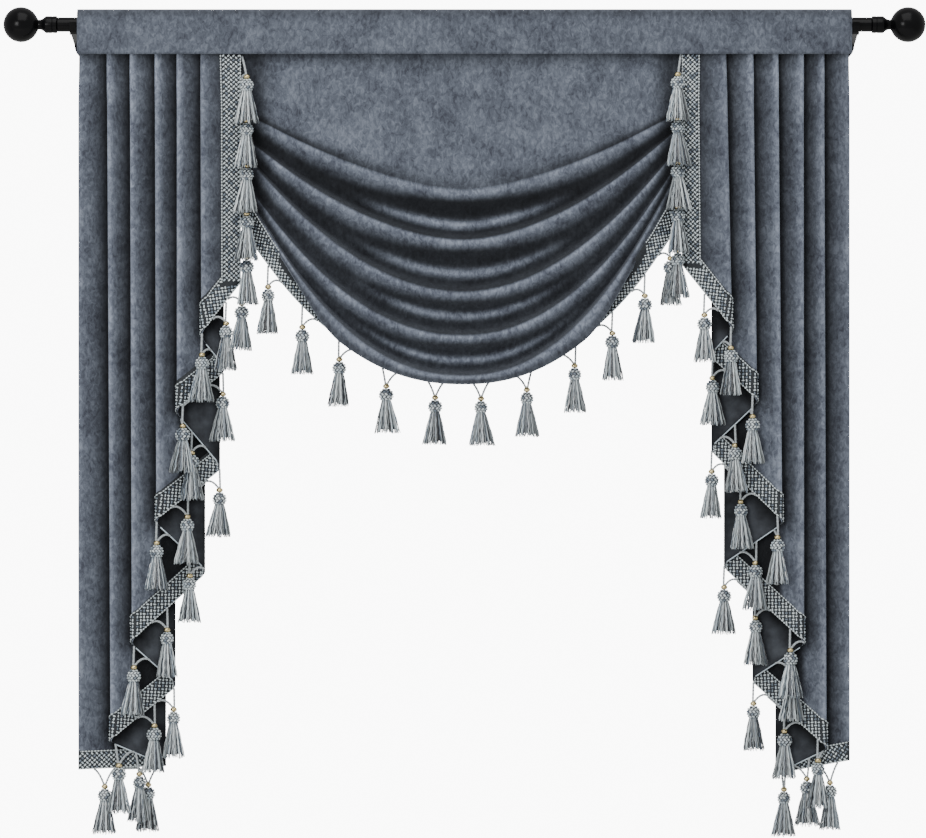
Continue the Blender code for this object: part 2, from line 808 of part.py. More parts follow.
def make_pair(name, first, second, number, finish):
    """Two tassels joined by the cord that runs on along the edge between them."""
    near, far = min(
        ((near, far) for near in (0, 1) for far in (0, 1)),
        key=lambda pick: (first.ends[pick[0]] - second.ends[pick[1]]).length,
    )
    between = (second.ends[far] - first.ends[near]).normalized() * CORD_TURN
    body = bmesh.new()
    faces = []
    ends = ((first, near, between, number), (second, far, -between, number + 1))
    for tassel, joined, step, count in ends:
        paths = [cord_path(tassel, 0), cord_path(tassel, 1)]
        paths[joined].append(tassel.ends[joined] + step)
        faces.append(add_tassel(body, tassel, count, paths)[joined])
    edges = [edge for face in faces for edge in face.edges]
    for face in faces:
        body.faces.remove(face)
    bmesh.ops.bridge_loops(body, edges=edges)
    return add_object(name, body, finish)


def tree_of(made):
    """A search tree of an object's surface, in millimetres."""
    points = [vertex.co / MM for vertex in made.data.vertices]
    faces = [list(face.vertices) for face in made.data.polygons]
    return BVHTree.FromPolygons(points, faces)


def tassel_tree(tassel, number):
    """A search tree of one tassel's surface, in millimetres."""
    body = bmesh.new()
    add_tassel(body, tassel, number, [cord_path(tassel, 0), cord_path(tassel, 1)])
    tree = BVHTree.FromBMesh(body)
    body.free()
    return tree


def make_tassels(trees, group, tassels, joined, finish):
    """Hang a row of tassels, the furthest back first."""
    for number in range(len(tassels), 0, -1):
        tassel = tassels[number - 1]
        bring_forward(trees, tassel)
        trees.append(tassel_tree(tassel, number))
        if number - 1 in joined:
            continue
        if number in joined:
            name = f"tassels_{group}_{number:02d}_{number + 1:02d}"
            made = make_pair(name, tassel, tassels[number], number, finish)
        else:
            made = make_single(f"tassel_{group}_{number:02d}", tassel, number, finish)
        trees.append(tree_of(made))


# Rod, finials and brackets


def turned(name, profile, finish, sides=ROD_SIDES):
    """A closed body turned about the rod's axis: rows of distance along it and radius."""
    body = bmesh.new()
    rings = []
    for distance, radius in profile:
        if radius == 0.0:
            rings.append([body.verts.new((distance, ROD_OUT, 0.0))])
            continue
        angles = [2.0 * math.pi * side / sides for side in range(sides)]
        rings.append([
            body.verts.new((distance, ROD_OUT + radius * math.cos(angle), radius * math.sin(angle)))
            for angle in angles
        ])
    for before, after in zip(rings, rings[1:]):
        for side in range(sides):
            turn = (side + 1) % sides
            loop = [before[side % len(before)], before[turn % len(before)]]
            loop += [after[turn % len(after)], after[side % len(after)]]
            body.faces.new(list(dict.fromkeys(loop)))
    return add_object(name, body, finish)


def make_rod(finish):
    """The rod, cut square inside the finials' caps."""
    ends = (-ROD_HALF_LENGTH, ROD_HALF_LENGTH)
    profile = [(ends[0], 0.0), (ends[0], ROD_RADIUS), (ends[1], ROD_RADIUS), (ends[1], 0.0)]
    return turned("rod", profile, finish)


def make_finial(name, side, finish):
    """A ball on a neck and cap."""
    profile = [(FINIAL_START, 0.0)]
    profile += [(FINIAL_START + distance, radius) for distance, radius in FINIAL_PROFILE]
    neck = math.asin(FINIAL_PROFILE[-1][1] / BALL_RADIUS)
    for step in range(1, BALL_RINGS):
        angle = lerp(neck, math.pi, step / BALL_RINGS)
        distance = FINIAL_START + BALL_CENTRE - BALL_RADIUS * math.cos(angle)
        profile.append((distance, BALL_RADIUS * math.sin(angle)))
    profile.append((FINIAL_START + BALL_CENTRE + BALL_RADIUS, 0.0))
    profile = [(side * distance, radius) for distance, radius in profile]
    return turned(name, profile, finish, sides=BALL_SIDES)


def prism(outline, axis, start, end):
    """A closed body: an outline of two coordinates carried from start to end along the third."""
    body = bmesh.new()

    def corner(pair, level):
        values = list(pair)
        values.insert(axis, level)
        return body.verts.new(values)

    first = [corner(pair, start) for pair in outline]
    last = [corner(pair, end) for pair in outline]
    body.faces.new(first)
    body.faces.new(last)
    for index in range(len(outline)):
        after = (index + 1) % len(outline)
        body.faces.new([first[index], first[after], last[after], last[index]])
    return body


def cradle_point(radius, degrees):
    """A point about the rod's axis: 0 degrees is towards the wall, -90 is down."""
    angle = math.radians(degrees)
    return (ROD_OUT + radius * math.cos(angle), radius * math.sin(angle))


def make_bracket(name, side, finish):
    """A round wall plate with an arm that ends in an open cradle under the rod."""
    outline = [cradle_point(CRADLE_INNER, degrees) for degrees in range(-190, 31, 20)]
    outline += [cradle_point(CRADLE_OUTER, degrees) for degrees in (30, 10, -10)]
    outline += [(-PLATE_THICK / 2.0, ARM_FOOT_TOP), (-PLATE_THICK / 2.0, ARM_FOOT_BOTTOM)]
    outline += [cradle_point(CRADLE_OUTER, degrees) for degrees in range(-50, -191, -20)]
    arm_body = prism(outline, 0, side * ARM_INNER, side * (ARM_INNER + ARM_WIDTH))
    arm = add_object(name + "_arm", arm_body, finish)
    arm.hide_render = True
    arm.display_type = "WIRE"
    angles = [2.0 * math.pi * step / ROD_SIDES for step in range(ROD_SIDES)]
    middle = side * PLATE_CENTRE
    circle = [
        (middle + PLATE_RADIUS * math.cos(angle), PLATE_DROP + PLATE_RADIUS * math.sin(angle))
        for angle in angles
    ]
    plate = add_object(name, prism(circle, 1, -PLATE_THICK, 0.0), finish)
    union = plate.modifiers.new("arm", "BOOLEAN")
    union.operation = "UNION"
    union.object = arm
    return plate


def build():
    """Make every piece of the valance."""
    for old in list(bpy.data.objects):
        bpy.data.objects.remove(old, do_unlink=True)
    velvet = material("velvet", VELVET, 0.9)
    trim = material("braid", SILVER_BLUE, 0.6)
    yarn = material("yarn", SILVER_BLUE, 0.7)
    black = material("black metal", BLACK, 0.35, 0.6)

    make_rod(black)
    for name, side in SIDES.items():
        make_finial("finial_" + name, side, black)
        make_bracket("bracket_" + name, side, black)
    make_header(velvet)
    cloths = [*make_swag(velvet, trim)]
    for name in SIDES:
        cloths += make_panel(name, velvet, trim)
    trees = [tree_of(cloth) for cloth in cloths]
    make_tassels(trees, "swag", swag_tassels(), (), yarn)
    for name in SIDES:
        make_tassels(trees, name, panel_tassels(name), JOINED_TASSELS[name], yarn)


build()
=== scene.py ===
"""Looks of the waterfall valance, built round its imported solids.

The cloth's tables are in millimetres, as in the part's source, and MM turns them into metres.
The origin lies on the wall at the height of the rod's axis, and the front faces -Y.
"""
import math
import random

import bpy
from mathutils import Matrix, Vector

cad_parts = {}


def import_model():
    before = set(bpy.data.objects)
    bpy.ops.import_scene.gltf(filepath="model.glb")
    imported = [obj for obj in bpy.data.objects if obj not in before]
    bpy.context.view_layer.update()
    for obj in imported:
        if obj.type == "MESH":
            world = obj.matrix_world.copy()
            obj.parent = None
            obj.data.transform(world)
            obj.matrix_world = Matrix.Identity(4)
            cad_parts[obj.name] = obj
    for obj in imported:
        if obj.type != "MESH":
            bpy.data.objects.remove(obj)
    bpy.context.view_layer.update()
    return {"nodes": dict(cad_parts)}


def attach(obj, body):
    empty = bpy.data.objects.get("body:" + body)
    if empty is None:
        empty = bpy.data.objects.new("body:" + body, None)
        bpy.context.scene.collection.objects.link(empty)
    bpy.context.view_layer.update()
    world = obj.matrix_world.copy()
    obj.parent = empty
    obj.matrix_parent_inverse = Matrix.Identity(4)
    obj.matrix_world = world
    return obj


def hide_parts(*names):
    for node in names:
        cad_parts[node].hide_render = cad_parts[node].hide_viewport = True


MM = 0.001
FORWARD = Vector((0.0, -1.0, 0.0))

# Camera: the photograph is 926 pixels wide, and a pixel is 1.29 mm at the cloth
PHOTO_WIDTH_PX = 926
PIXEL = 1.29
VIEW_CENTRE = (-1.9, -90.0, -509.6)
CAMERA_BACK = 6000.0
SENSOR = 36.0

# Rod and finials
ROD_OUT = -80.0
ROD_RADIUS = 9.4
ROD_HALF_LENGTH = 526.0
FINIAL_START = 526.3
BALL_CENTRE = 46.7
BALL_RADIUS = 22.8
BALL_STEPS = 24
BALL_END_RADIUS = 0.2
NECK_RADIUS = 6.2
FINIAL_PROFILE = (
    # distance from the finial's start, radius of its cap and neck
    (0.0, 10.3), (0.6, 11.1), (5.2, 11.1), (5.6, 10.6), (6.2, 10.6), (6.6, 11.1), (13.8, 11.1),
    (14.8, 10.9), (15.6, 10.2), (18.0, 8.2), (21.0, 6.7), (24.0, NECK_RADIUS),
)
ROD_EASE = 0.8
SHARP_ANGLE = 40.0
TURNED_SIDES = 64

# Header
HEADER_HALF_LENGTH = 500.0
HEADER_HALF_THICK = 1.0
HEADER_FOOT = -38.7
HEADER_FACE = 44.0
POCKET_RADIUS = 10.7
POCKET_CENTRE = 8.3
BACK_STRAIGHT_TO = -10.0
BACK_SEAM_FROM = -26.0
BACK_SEAM_PANELS = -63.5
BACK_SEAM_SWAG = -83.2
SEAM_STEP_START = 192.0
SEAM_STEP_END = 262.0
FACE_STEPS = 10
BACK_STEPS = 4
STEP_STEPS = 6
SEAM_STEPS = 3

# Cloth and trims
CLOTH_HALF_THICK = 0.8
PIECE_GAP = 0.3
BRAID_WIDTH = 24.0
CLOTH_TOP = -28.0
BRAID_TOP = -39.2

# Side panels: each row is a pleat corner, from the inner edge outwards.
# name, distance from the middle at the header, distance at the cut edge, height of the cut edge
PANEL_CORNERS = {
    "left": (
        ("inner edge", 288.3, 288.3, -334.1),
        ("tip 1", 339.9, 338.6, -401.2),
        ("hidden 1", 311.5, 311.5, -446.3),
        ("tip 2", 370.9, 370.9, -499.2),
        ("hidden 2", 317.2, 317.2, -572.8),
        ("tip 3", 399.3, 397.3, -641.1),
        ("hidden 3", 336.8, 336.8, -706.9),
        ("tip 4", 431.5, 428.9, -797.2),
        ("hidden 4", 375.0, 375.0, -854.0),
        ("tip 5", 461.2, 456.5, -924.9),
        ("hidden 5", 387.6, 387.6, -959.8),
        ("outer edge", 497.3, 497.3, -961.1),
    ),
    "right": (
        ("inner edge", 280.6, 280.6, -310.9),
        ("tip 1", 336.7, 344.4, -393.4),
        ("hidden 1", 320.6, 320.6, -427.0),
        ("tip 2", 372.2, 377.3, -486.3),
        ("hidden 2", 320.6, 320.6, -548.2),
        ("tip 3", 404.4, 409.6, -642.4),
        ("hidden 3", 337.3, 337.3, -699.2),
        ("tip 4", 437.3, 438.0, -798.5),
        ("hidden 4", 374.1, 374.1, -847.5),
        ("tip 5", 463.8, 467.0, -934.0),
        ("hidden 5", 403.8, 403.8, -971.4),
        ("outer edge", 496.0, 496.0, -949.4),
    ),
}
SIDES = {"left": -1, "right": 1}
LAST_CORNER = 11
PANEL_FRONT_TOP = -88.6
PANEL_FRONT_LOW = -97.5
LAYER_PITCH_TOP = 3.4
LAYER_PITCH_LOW = 6.8
RELAXED_BELOW = -112.0
FIRST_FACE_SLOPE = 0.3
TIP_BULGE = 3.5
TIP_BULGE_REACH = 12.0
WAVE_HEIGHT = 1.5
WAVE_LENGTH = 17.0
TURN_ARC = 7.0
TURN_MOST = 0.25

# Swag: crest lines of the five folds and the lower edge.
# name, height at the left end, in the middle and at the right end, steepness, how far forward
SWAG_CRESTS = (
    ("fold A", -123.8, -219.3, -121.3, 1.6, 14.0),
    ("fold B", -158.7, -282.5, -144.5, 1.8, 15.0),
    ("fold C", -185.8, -349.6, -172.9, 1.95, 17.0),
    ("fold D", -223.2, -405.1, -194.8, 2.1, 19.0),
    ("fold E", -239.9, -456.7, -209.0, 2.2, 22.0),
)
SWAG_EDGE = ("lower edge", -287.7, -465.2, -274.8, 2.25, 0.0)
SWAG_MIDDLE = -2.0
SWAG_HALF_SPAN = 268.0
SWAG_REACH = 1.09
SWAG_SOURCE_COLUMNS = 16
SWAG_TOP_OUT = -85.5
SWAG_TOP_OUT_ENDS = -82.5
SWAG_OUT = -88.0
SWAG_OUT_ENDS = -79.5
SWAG_FULL_ROOM = 58.0
SWAG_CROWDING = 1.5
SWAG_TUCKED_DEPTH = 0.6
SWAG_TUCK = (0.93, 1.03)
SWAG_APRON = (
    # share of the way from the header to fold A, share of that fold's reach forward
    (0.35, 0.08),
    (0.65, 0.08),
    (0.88, 0.5),
)
SWAG_VALLEY = (
    # share of the way to the next crest, share of the crests' reach in the middle and at the ends
    (0.11, 0.80, 0.90),
    (0.25, 0.20, 0.70),
    (0.42, -0.25, 0.40),
    (0.60, 0.10, 0.00),
    (0.78, -0.20, -0.45),
    (0.91, 0.50, 0.30),
)
BELLY_HIDES_HEM = (0.88, 0.58)
HEM_RAISED = 4.0
HEM_BACK = 15.5
HEM_TURN = 4.0
HEM_TURN_OPEN = 3.0
BELLY = (
    # height over the hem and distance forward where the belly hides the hem, then the share
    # of the way from fold E to the braid and the share of that fold's reach where it does not
    (-1.0, 21.0, 0.30, 0.90),
    (-4.0, 14.0, 0.52, 0.55),
    (-1.0, 7.0, 0.70, 0.25),
    (12.0, -8.5, 0.80, 0.15),
    (28.0, -9.5, 0.88, 0.10),
    (32.0, -12.5, 0.94, 0.05),
)

# Tassels, as in the part's source
CORD_SPREAD = 26.0
CORD_DROP = 26.0
CORD_DROP_LEVEL = 22.0
LEVEL_FALL = 18.0
CORD_OFF_EDGE = 1.4
BEAD_TO_HEAD = 5.0
TASSEL_DEPTH = 0.8
HEAD_WIDEST = 6.5
SKIRT_TOP = 13.5
SKIRT_FOOT = 55.0
EDGE_TASSELS = {
    # height of the upper attachment of each tassel on the inner edge
    "left": (-42.6, -99.3, -157.4, -219.3, -276.1),
    "right": (-39.5, -96.8, -153.5, -210.3, -267.0),
}
INNER_HANG = {"left": 6.5, "right": 4.5}
CUT_TASSELS = {
    # upper attachments along the cut edge: pleat corner number, then the share of the way to the next
    "left": (0.0, 0.38, 0.98, 2.08, 2.85, 3.37, 4.03, 4.52, 5.02, 5.67, 6.53, 7.10, 8.07, 8.35,
             9.12, 9.46, 10.12, 10.60),
    "right": (0.46, 0.97, 2.05, 2.88, 3.49, 4.03, 4.44, 4.92, 5.45, 6.02, 6.41, 6.82, 7.25,
              8.05, 8.45, 8.87, 9.35, 9.78, 10.60),
}
JOINED_TASSELS = {
    # first tassel of each pair that one cord joins
    "left": (1, 3, 9, 12, 22),
    "right": (1, 3, 11, 15, 19),
    "swag": (),
}
SWAG_LOOPS = (
    # distance of each loop's left end from the middle
    -252.4, -208.6, -161.7, -106.3, -49.7, 8.0, 62.3, 121.2, 171.2, 216.3, 250.8,
)
CUT_STEP = 0.01
HEM_STEP = 0.5

# How light the header is all over, with painted shade in its pressed seam and over its top
HEADER_TONE = 0.93
SEAM_CENTRE = 1.6
SEAM_REACH = 1.8
SEAM_SHADE = 0.55
HEADER_TOP_TONE = 0.60
HEADER_TOP_REACH = 9.0

# Painted light and shade on the panels: painted shadow under a covering pleat, behind its tip, beside the
# braid and under the header, and a painted highlight along a pleat's tip
COVERED_TONE = 0.042
COVER_REACH = 37.0
COVER_OVERLAP = 4.0
COVER_LEAD = 30.0
COVER_FADE = 40.0
TIP_GLEAM = 1.35
FIRST_TIP_GLEAM = 0.75
OUTER_EDGE_GLEAM = 0.5
TIP_GLEAM_REACH = 8.0
BEHIND_TIP_TONE = 0.05
BEHIND_TIP_LEAD = 3.0
BEHIND_TIP_REACH = 8.0
INNER_EDGE_TONE = 0.28
INNER_EDGE_OVERLAP = 4.0
INNER_EDGE_REACH = 32.0
HEADER_SHADE_TONE = 0.6
HEADER_SHADE_GAP = 8.0
HEADER_SHADE_REACH = 26.0
# Painted shade on the right side of the turned-back runs, between the layers
TURNED_TONE = 0.4
BACK_TONE = 1.4
# Painted shade and sheen on the wrong side, and how far the shade under a covering run reaches
WRONG_SIDE_TONES = (0.5, 2.6)
WRONG_SIDE_SHADE = 34.0

# Painted light and shade on the swag: painted shade above its first crest, between crests, under the last
# crest and at its ends, and how far a crest's painted highlight reaches
APRON_TOP_TONE = 0.60
APRON_TOP_REACH = 0.16
APRON_FOOT_TONES = (0.55, 0.16)
APRON_FOOT = (0.85, 0.12)
APRON_SIDE = 0.8
FIRST_CREST = (0.98, 0.025)
CREST_RISE = (0.93, 0.06)
CREST_LIGHT_SIDE = 0.75
BELLY_TONES = (0.5, 0.9)
BELLY_SHADE_REACH = 0.25
BELLY_FOOT_REACH = 0.35
SWAG_SIDE_TONE = 0.30
SWAG_SIDE_REACH = 0.12
VALLEY_TONE = (0.062, 0.23)
CREST_TONE = 1.5
CREST_LIGHT = (0.18, 0.50)
MIDDLE_RIDGES = (
    # share of the way from one crest to the next, strength
    (0.65, 1.3),
    (0.60, 1.1),
    (0.50, 0.95),
    (0.56, 1.0),
)
# Painted highlight on the small middle ridges, which also stand forward
RIDGE_TONE = 1.25
RIDGE_REACH = 0.08
RIDGE_HEIGHT = 3.0
RIDGE_END = 0.56
RIDGE_FADE = 0.40

# Fineness of the dressed cloth
PANEL_STEP = 6.0
PANEL_ROWS = 130
BAND_ROWS = 5
FOLD_STEPS = 4
SWAG_COLUMNS = 130
SWAG_FINE = 4
SWAG_SMOOTHING = 4
HEADER_STATIONS = 160
LEAST_RUN_STEPS = 4
SWAG_GROUND_STEPS = 200
NORMAL_STEP = 0.01

# Braid weave
PLAIT = 4.1
GRAIN_LENGTH = 4.5
GRAIN_WIDTH = 2.5
GRAIN_HEIGHT = 1.3
GRAIN_HEIGHTS = (0.85, 1.15)
GRAIN_RIDGE = 0.2
# Painted shade at the foot of each lump, where it passes under its neighbours
GRAIN_FOOT_SHADE = 0.45
GRAIN_TILT = 45.0
SILK_GLOW = (0.92, 1.02)
BAND_THICK = 0.6
BAND_MARGIN = 2.7
PICOT_STEP = 0.95
PICOT_PITCH = 3.8
PICOT_RADIUS = (0.35, 1.0)
# Painted shade on the picot cord where it dips between its loops
PICOT_SHADE_TONES = (0.03, 0.8)
PICOT_INSET = 0.9
PICOT_RISE = 0.5
RIM_RADIUS = 0.9
RIM_DROP = 0.6
RIM_STEPS = 12
CUT_BEND = 10.0
CUT_LEAD = 40.0
GROUND_ROWS = 30
GROUND_COLUMNS = 4
SLANTED_ROWS = 3
RIM_SIDES = 5
PICOT_SIDES = 4

# Skirt yarns, heads, beads and cords
YARNS = 84
YARN_RADIUS = 0.58
YARN_STEPS = 7
YARN_JITTER = 0.03
YARN_DEPTHS = (0.70, 0.90)
YARN_FOOT = (-3.0, 1.5)
YARN_WANDER = 0.06
YARN_START = 1.5
PHASE_MOST = 6.28
TURN_WAVE = (0.05, 2.6)
REACH_WAVE = (0.35, 1.9)
# Painted glints along each yarn
GLEAM_WAVE = (0.98, 0.12, 2.2)
SKIRT_LEAN = 0.04
SKIRT_RADIUS = (5.2, 15.4)
SKIRT_FLARE = 0.85
CORE_SHARE = 0.74
CORE_STEPS = 4
CORE_SHORTER = 4.0
CORE_SIDES = 12
# Painted shade on one side of each skirt, painted light on its locks and painted shade in the grooves
# between them
SHADED_YARNS = 0.38
SHADE_FALL = 2.0
SHADE_START = 0.9
LOCK_RIDGE_LIGHT = 1.1
FULLNESS = (0.88, 1.10)
LOCKS = 11
LOCK_PULL = 0.055
LOCK_DEPTH = 0.10
GROOVE_SHADE = 0.34
HEAD_CORE = (
    # drop below the top of the head, radius
    (-1.5, 2.4),
    (0.0, 4.9),
    (2.5, 7.0),
    (6.0, 7.9),
    (9.6, 7.4),
    (12.4, 5.7),
    (14.4, 4.6),
)
HEAD_LUMPS = (
    # drop, radius of the row, how many, rise of the surface outwards
    (-0.6, 4.1, 6, 1.5),
    (2.2, 6.9, 9, 0.7),
    (5.4, 8.1, 10, 0.1),
    (8.6, 7.8, 10, -0.3),
    (11.6, 6.4, 9, -0.8),
)
HEAD_TILT = 40.0
HEAD_FULLNESS = (0.90, 1.05)
HEAD_GRAIN = (5.0, 3.1, 1.5)
HEAD_JITTER = 0.06
BEAD_RADIUS = 4.4
BEAD_FLATNESS = 0.74
BEAD_SIDES = 14
BEAD_LEVELS = 8
BEAD_SPAN = (0.08, 0.84)
CORD_RADIUS = 1.4
CORD_INTO_EDGE = 1.6
CORD_STEPS = 14
CORD_BOW = 0.30
CORD_BOW_MOST = 5.0
CORD_SIDES = 6
CORD_FROM_BEAD = (0.8, 2.0)
# Painted highlights along the twist of each cord
CORD_GLOW = (0.85, 0.2, 2.1)
CORD_TWIST = (0.12, 2.6)
SOLID_HALF_WIDTH = 16.0
HEAD_RING_REACH = 0.6
FOOT_RING_REACH = 2.7

# Room: floor in millimetres, lights in metres and watts
FLOOR_HALF = 2080.0
FLOOR_HEIGHT = -1250.0
FLOOR_CLOUDS = (3.0, 3.0, 0.55)
ROOM_LIGHT = 0.74
ROOM_SEEN = 10.0
LIGHT_TARGET = (0.0, -0.09, -0.45)
LIGHTS = (
    # name, place, size, power
    ("top light", (0.0, -1.6, 1.9), 2.4, 55.0),
    ("front light", (-1.8, -3.0, 0.1), 1.0, 42.0),
)

# Noise of the materials: scale, detail, roughness, distortion
VELVET_CLOUDS = (22.0, 4.0, 0.6, 0.4)
VELVET_CRUSH = (190.0, 4.0, 0.7, 0.8)
CRUSH_STRETCH = (1.0, 0.62, 1.0)
VELVET_PILE = (1300.0, 2.0, 0.6)
LINING_CLOUDS = (40.0, 3.0, 0.5)
WEAVE = (900.0, 2.0, 0.5)
WEAVE_STRETCH = (1.0, 0.4, 1.0)
YARN_FIBRES = (1500.0, 2.0, 0.6)
GILT_WEAR = (700.0, 2.0, 0.5)
COAT_GRAIN = (1800.0, 2.0, 0.5)
COAT_CLOUDS = (60.0, 2.0, 0.5)

# Bumps of the materials: distance in metres, strength
VELVET_BUMP = (0.0012, 0.5)
FINE_BUMP = (0.0003, 0.4)
GROUND_BUMP = (0.0003, 0.5)
COAT_BUMP = (0.0001, 0.2)

# Colours, linear
VELVET_LIGHT = (0.155, 0.175, 0.215, 1.0)
VELVET_MIDDLE = (0.086, 0.098, 0.124, 1.0)
VELVET_DARK = (0.035, 0.039, 0.053, 1.0)
LINING_DARK = (0.011, 0.012, 0.014, 1.0)
LINING_LIGHT = (0.027, 0.030, 0.035, 1.0)
BAND_GROUND = (0.006, 0.008, 0.010, 1.0)
BAND_THREAD = (0.022, 0.027, 0.034, 1.0)
WHITE = (1.0, 1.0, 1.0, 1.0)
FIBRE = (0.86, 0.87, 0.88, 1.0)
SILVER = (0.87, 0.97, 1.0)
ICE = (0.62, 0.73, 0.80)
STEEL = (0.17, 0.22, 0.28)
SLATE = (0.018, 0.024, 0.036)
CORD_SHADE = (0.42, 0.46, 0.48)
PLAIT_SHADES = (SILVER, SILVER, SILVER, ICE, STEEL)
YARN_SHADES = (SILVER, SILVER, SILVER, SILVER, SILVER, SILVER, ICE, STEEL, STEEL, SLATE)
# The deeper yarns take darker colours, as painted shade inside the skirt
DEEP_YARN_SHADOW_COLOURS = (ICE, STEEL, STEEL, SLATE)
GOLD = (0.82, 0.68, 0.38, 1.0)
WORN_GOLD = (0.42, 0.31, 0.12, 1.0)
BLACK = (0.0015, 0.0015, 0.0018, 1.0)
WORN_BLACK = (0.003, 0.003, 0.0035, 1.0)
FLOOR_COLOUR = (0.86, 0.86, 0.85, 1.0)
FLOOR_LIGHT = (0.9, 0.9, 0.89, 1.0)


def lerp(start, end, share):
    """The value a share of the way from start to end."""
    return start + (end - start) * share


def ease(share):
    """A smooth step from 0 to 1."""
    share = max(0.0, min(1.0, share))
    return share * share * (3.0 - 2.0 * share)


def grey(level):
    """A neutral colour."""
    return (level, level, level)


def circle(sides):
    """Evenly spread angles round a circle."""
    return [2.0 * math.pi * step / sides for step in range(sides)]


def segment(stops, value):
    """The pair of rising stops a value lies between, as the first one's index and a share of the way."""
    index = 0
    while index < len(stops) - 2 and value > stops[index + 1]:
        index += 1
    return index, (value - stops[index]) / (stops[index + 1] - stops[index])


def lowered(place, drop):
    """A place moved straight down."""
    return place - Vector((0.0, 0.0, drop))


# Meshes


class Shape:
    """The points, faces and colours of one piece, gathered in millimetres."""

    def __init__(self):
        self.points = []
        self.colours = []
        self.places = []
        self.faces = []
        self.finishes = []

    def point(self, place, colour=(1.0, 1.0, 1.0), flat=(0.0, 0.0)):
        """Add a point with its colour and its place on the flat cloth, and return its number."""
        self.points.append(place * MM)
        self.colours.append((*colour, 1.0))
        self.places.append(flat)
        return len(self.points) - 1

    def face(self, corners, finish=0):
        """Add a face of the chosen finish."""
        self.faces.append(corners)
        self.finishes.append(finish)

    def to_object(self, name, materials):
        """Make the mesh object."""
        mesh = bpy.data.meshes.new(name)
        mesh.from_pydata(self.points, [], self.faces)
        for finish in materials:
            mesh.materials.append(finish)
        mesh.polygons.foreach_set("material_index", self.finishes)
        # The tone colour carries each point's colour with its painted light and shade
        tone = mesh.color_attributes.new("tone", "FLOAT_COLOR", "POINT")
        tone.data.foreach_set("color", [value for colour in self.colours for value in colour])
        flat = mesh.uv_layers.new(name="flat")
        corners = [0] * len(mesh.loops)
        mesh.loops.foreach_get("vertex_index", corners)
        flat.data.foreach_set("uv", [value for corner in corners for value in self.places[corner]])
        mesh.shade_smooth()
        mesh.update()
        made = bpy.data.objects.new(name, mesh)
        bpy.context.scene.collection.objects.link(made)
        return made


def fit(made, slot, *nodes):
    """Let a piece ride on the one body, in place of its nodes. The slot is not used."""
    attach(made, "root")
    if nodes:
        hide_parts(*nodes)
    return made


def grid_normals(grid):
    """The unit normal at each point of a grid, towards the cloth's right side."""
    rows = len(grid)
    columns = len(grid[0])
    normals = []
    for row in range(rows):
        line = []
        for column in range(columns):
            along = grid[row][min(column + 1, columns - 1)] - grid[row][max(column - 1, 0)]
            down = grid[min(row + 1, rows - 1)][column] - grid[max(row - 1, 0)][column]
            line.append(down.cross(along).normalized())
        normals.append(line)
    return normals


def join_rings(shape, rings, finish=0, inside_out=False):
    """Join rings of points into one closed body."""
    order = -1 if inside_out else 1
    count = len(rings[0])
    for before, after in zip(rings, rings[1:]):
        for step in range(count):
            turn = (step + 1) % count
            shape.face([before[step], before[turn], after[turn], after[step]][::order], finish)
    shape.face(rings[0][::-order], finish)
    shape.face(rings[-1][::order], finish)


def mirror(place, side):
    """A place with its distance from the middle turned to the left or right side."""
    return Vector((place.x * side, place.y, place.z))


def add_slab(shape, grid, levels, side=1, tones=None, flats=None, back_finish=0, back_tones=None):
    """Add a closed sheet: the grid moved along its normals to the two levels."""
    normals = grid_normals(grid)
    rows = len(grid)
    columns = len(grid[0])
    faces = []
    for level, shades in zip(levels, (tones, back_tones or tones)):
        corners = []
        for row in range(rows):
            line = []
            for column in range(columns):
                place = mirror(grid[row][column] + normals[row][column] * level, side)
                tone = shades[row][column] if shades else 1.0
                flat = flats[row][column] if flats else (0.0, 0.0)
                line.append(shape.point(place, grey(tone), (flat[0] * MM, flat[1] * MM)))
            corners.append(line)
        faces.append(corners)
    front, back = faces
    for row in range(rows - 1):
        for column in range(columns - 1):
            loop = [(row, column), (row + 1, column), (row + 1, column + 1), (row, column + 1)]
            if side < 0:
                loop.reverse()
            shape.face([front[r][c] for r, c in loop])
            shape.face([back[r][c] for r, c in reversed(loop)], back_finish)
    rim = [(0, column) for column in range(columns)]
    rim += [(row, columns - 1) for row in range(1, rows)]
    rim += [(rows - 1, column) for column in range(columns - 2, -1, -1)]
    rim += [(row, 0) for row in range(rows - 2, -1, -1)]
    for (row, column), (next_row, next_column) in zip(rim, rim[1:]):
        loop = [
            front[row][column],
            front[next_row][next_column],
            back[next_row][next_column],
            back[row][column],
        ]
        if side < 0:
            loop.reverse()
        shape.face(loop)


def add_tube(shape, path, radii, sides, colours, facings):
    """Add a thin closed tube along a path, with a radius, a colour and a facing for each point."""
    rings = []
    for index, place in enumerate(path):
        before = path[max(index - 1, 0)]
        after = path[min(index + 1, len(path) - 1)]
        along = (after - before).normalized()
        across = along.cross(facings[index]).normalized()
        over = across.cross(along)
        ring = []
        for angle in circle(sides):
            offset = across * math.cos(angle) + over * math.sin(angle)
            ring.append(shape.point(place + offset * radii[index], colours[index]))
        rings.append(ring)
    join_rings(shape, rings)


def add_grain(shape, centre, along, out, size, colour):
    """Add one over-and-under lump of a plait: a long low mound on a surface, with painted shade at its
    foot.
    """
    length, width, height = size
    across = out.cross(along).normalized()
    base = []
    for step in range(6):
        angle = math.radians(60.0 * step)
        offset = along * (math.cos(angle) * length / 2.0) + across * (math.sin(angle) * width / 2.0)
        base.append(shape.point(centre + offset, tuple(GRAIN_FOOT_SHADE * value for value in colour)))
    ridge = along * (GRAIN_RIDGE * length)
    right = shape.point(centre + ridge + out * height, colour)
    left = shape.point(centre - ridge + out * height, colour)
    shape.face([base[0], base[1], right])
    shape.face([base[1], base[2], left, right])
    shape.face([base[2], base[3], left])
    shape.face([base[3], base[4], left])
    shape.face([base[4], base[5], right, left])
    shape.face([base[5], base[0], right])


# Materials


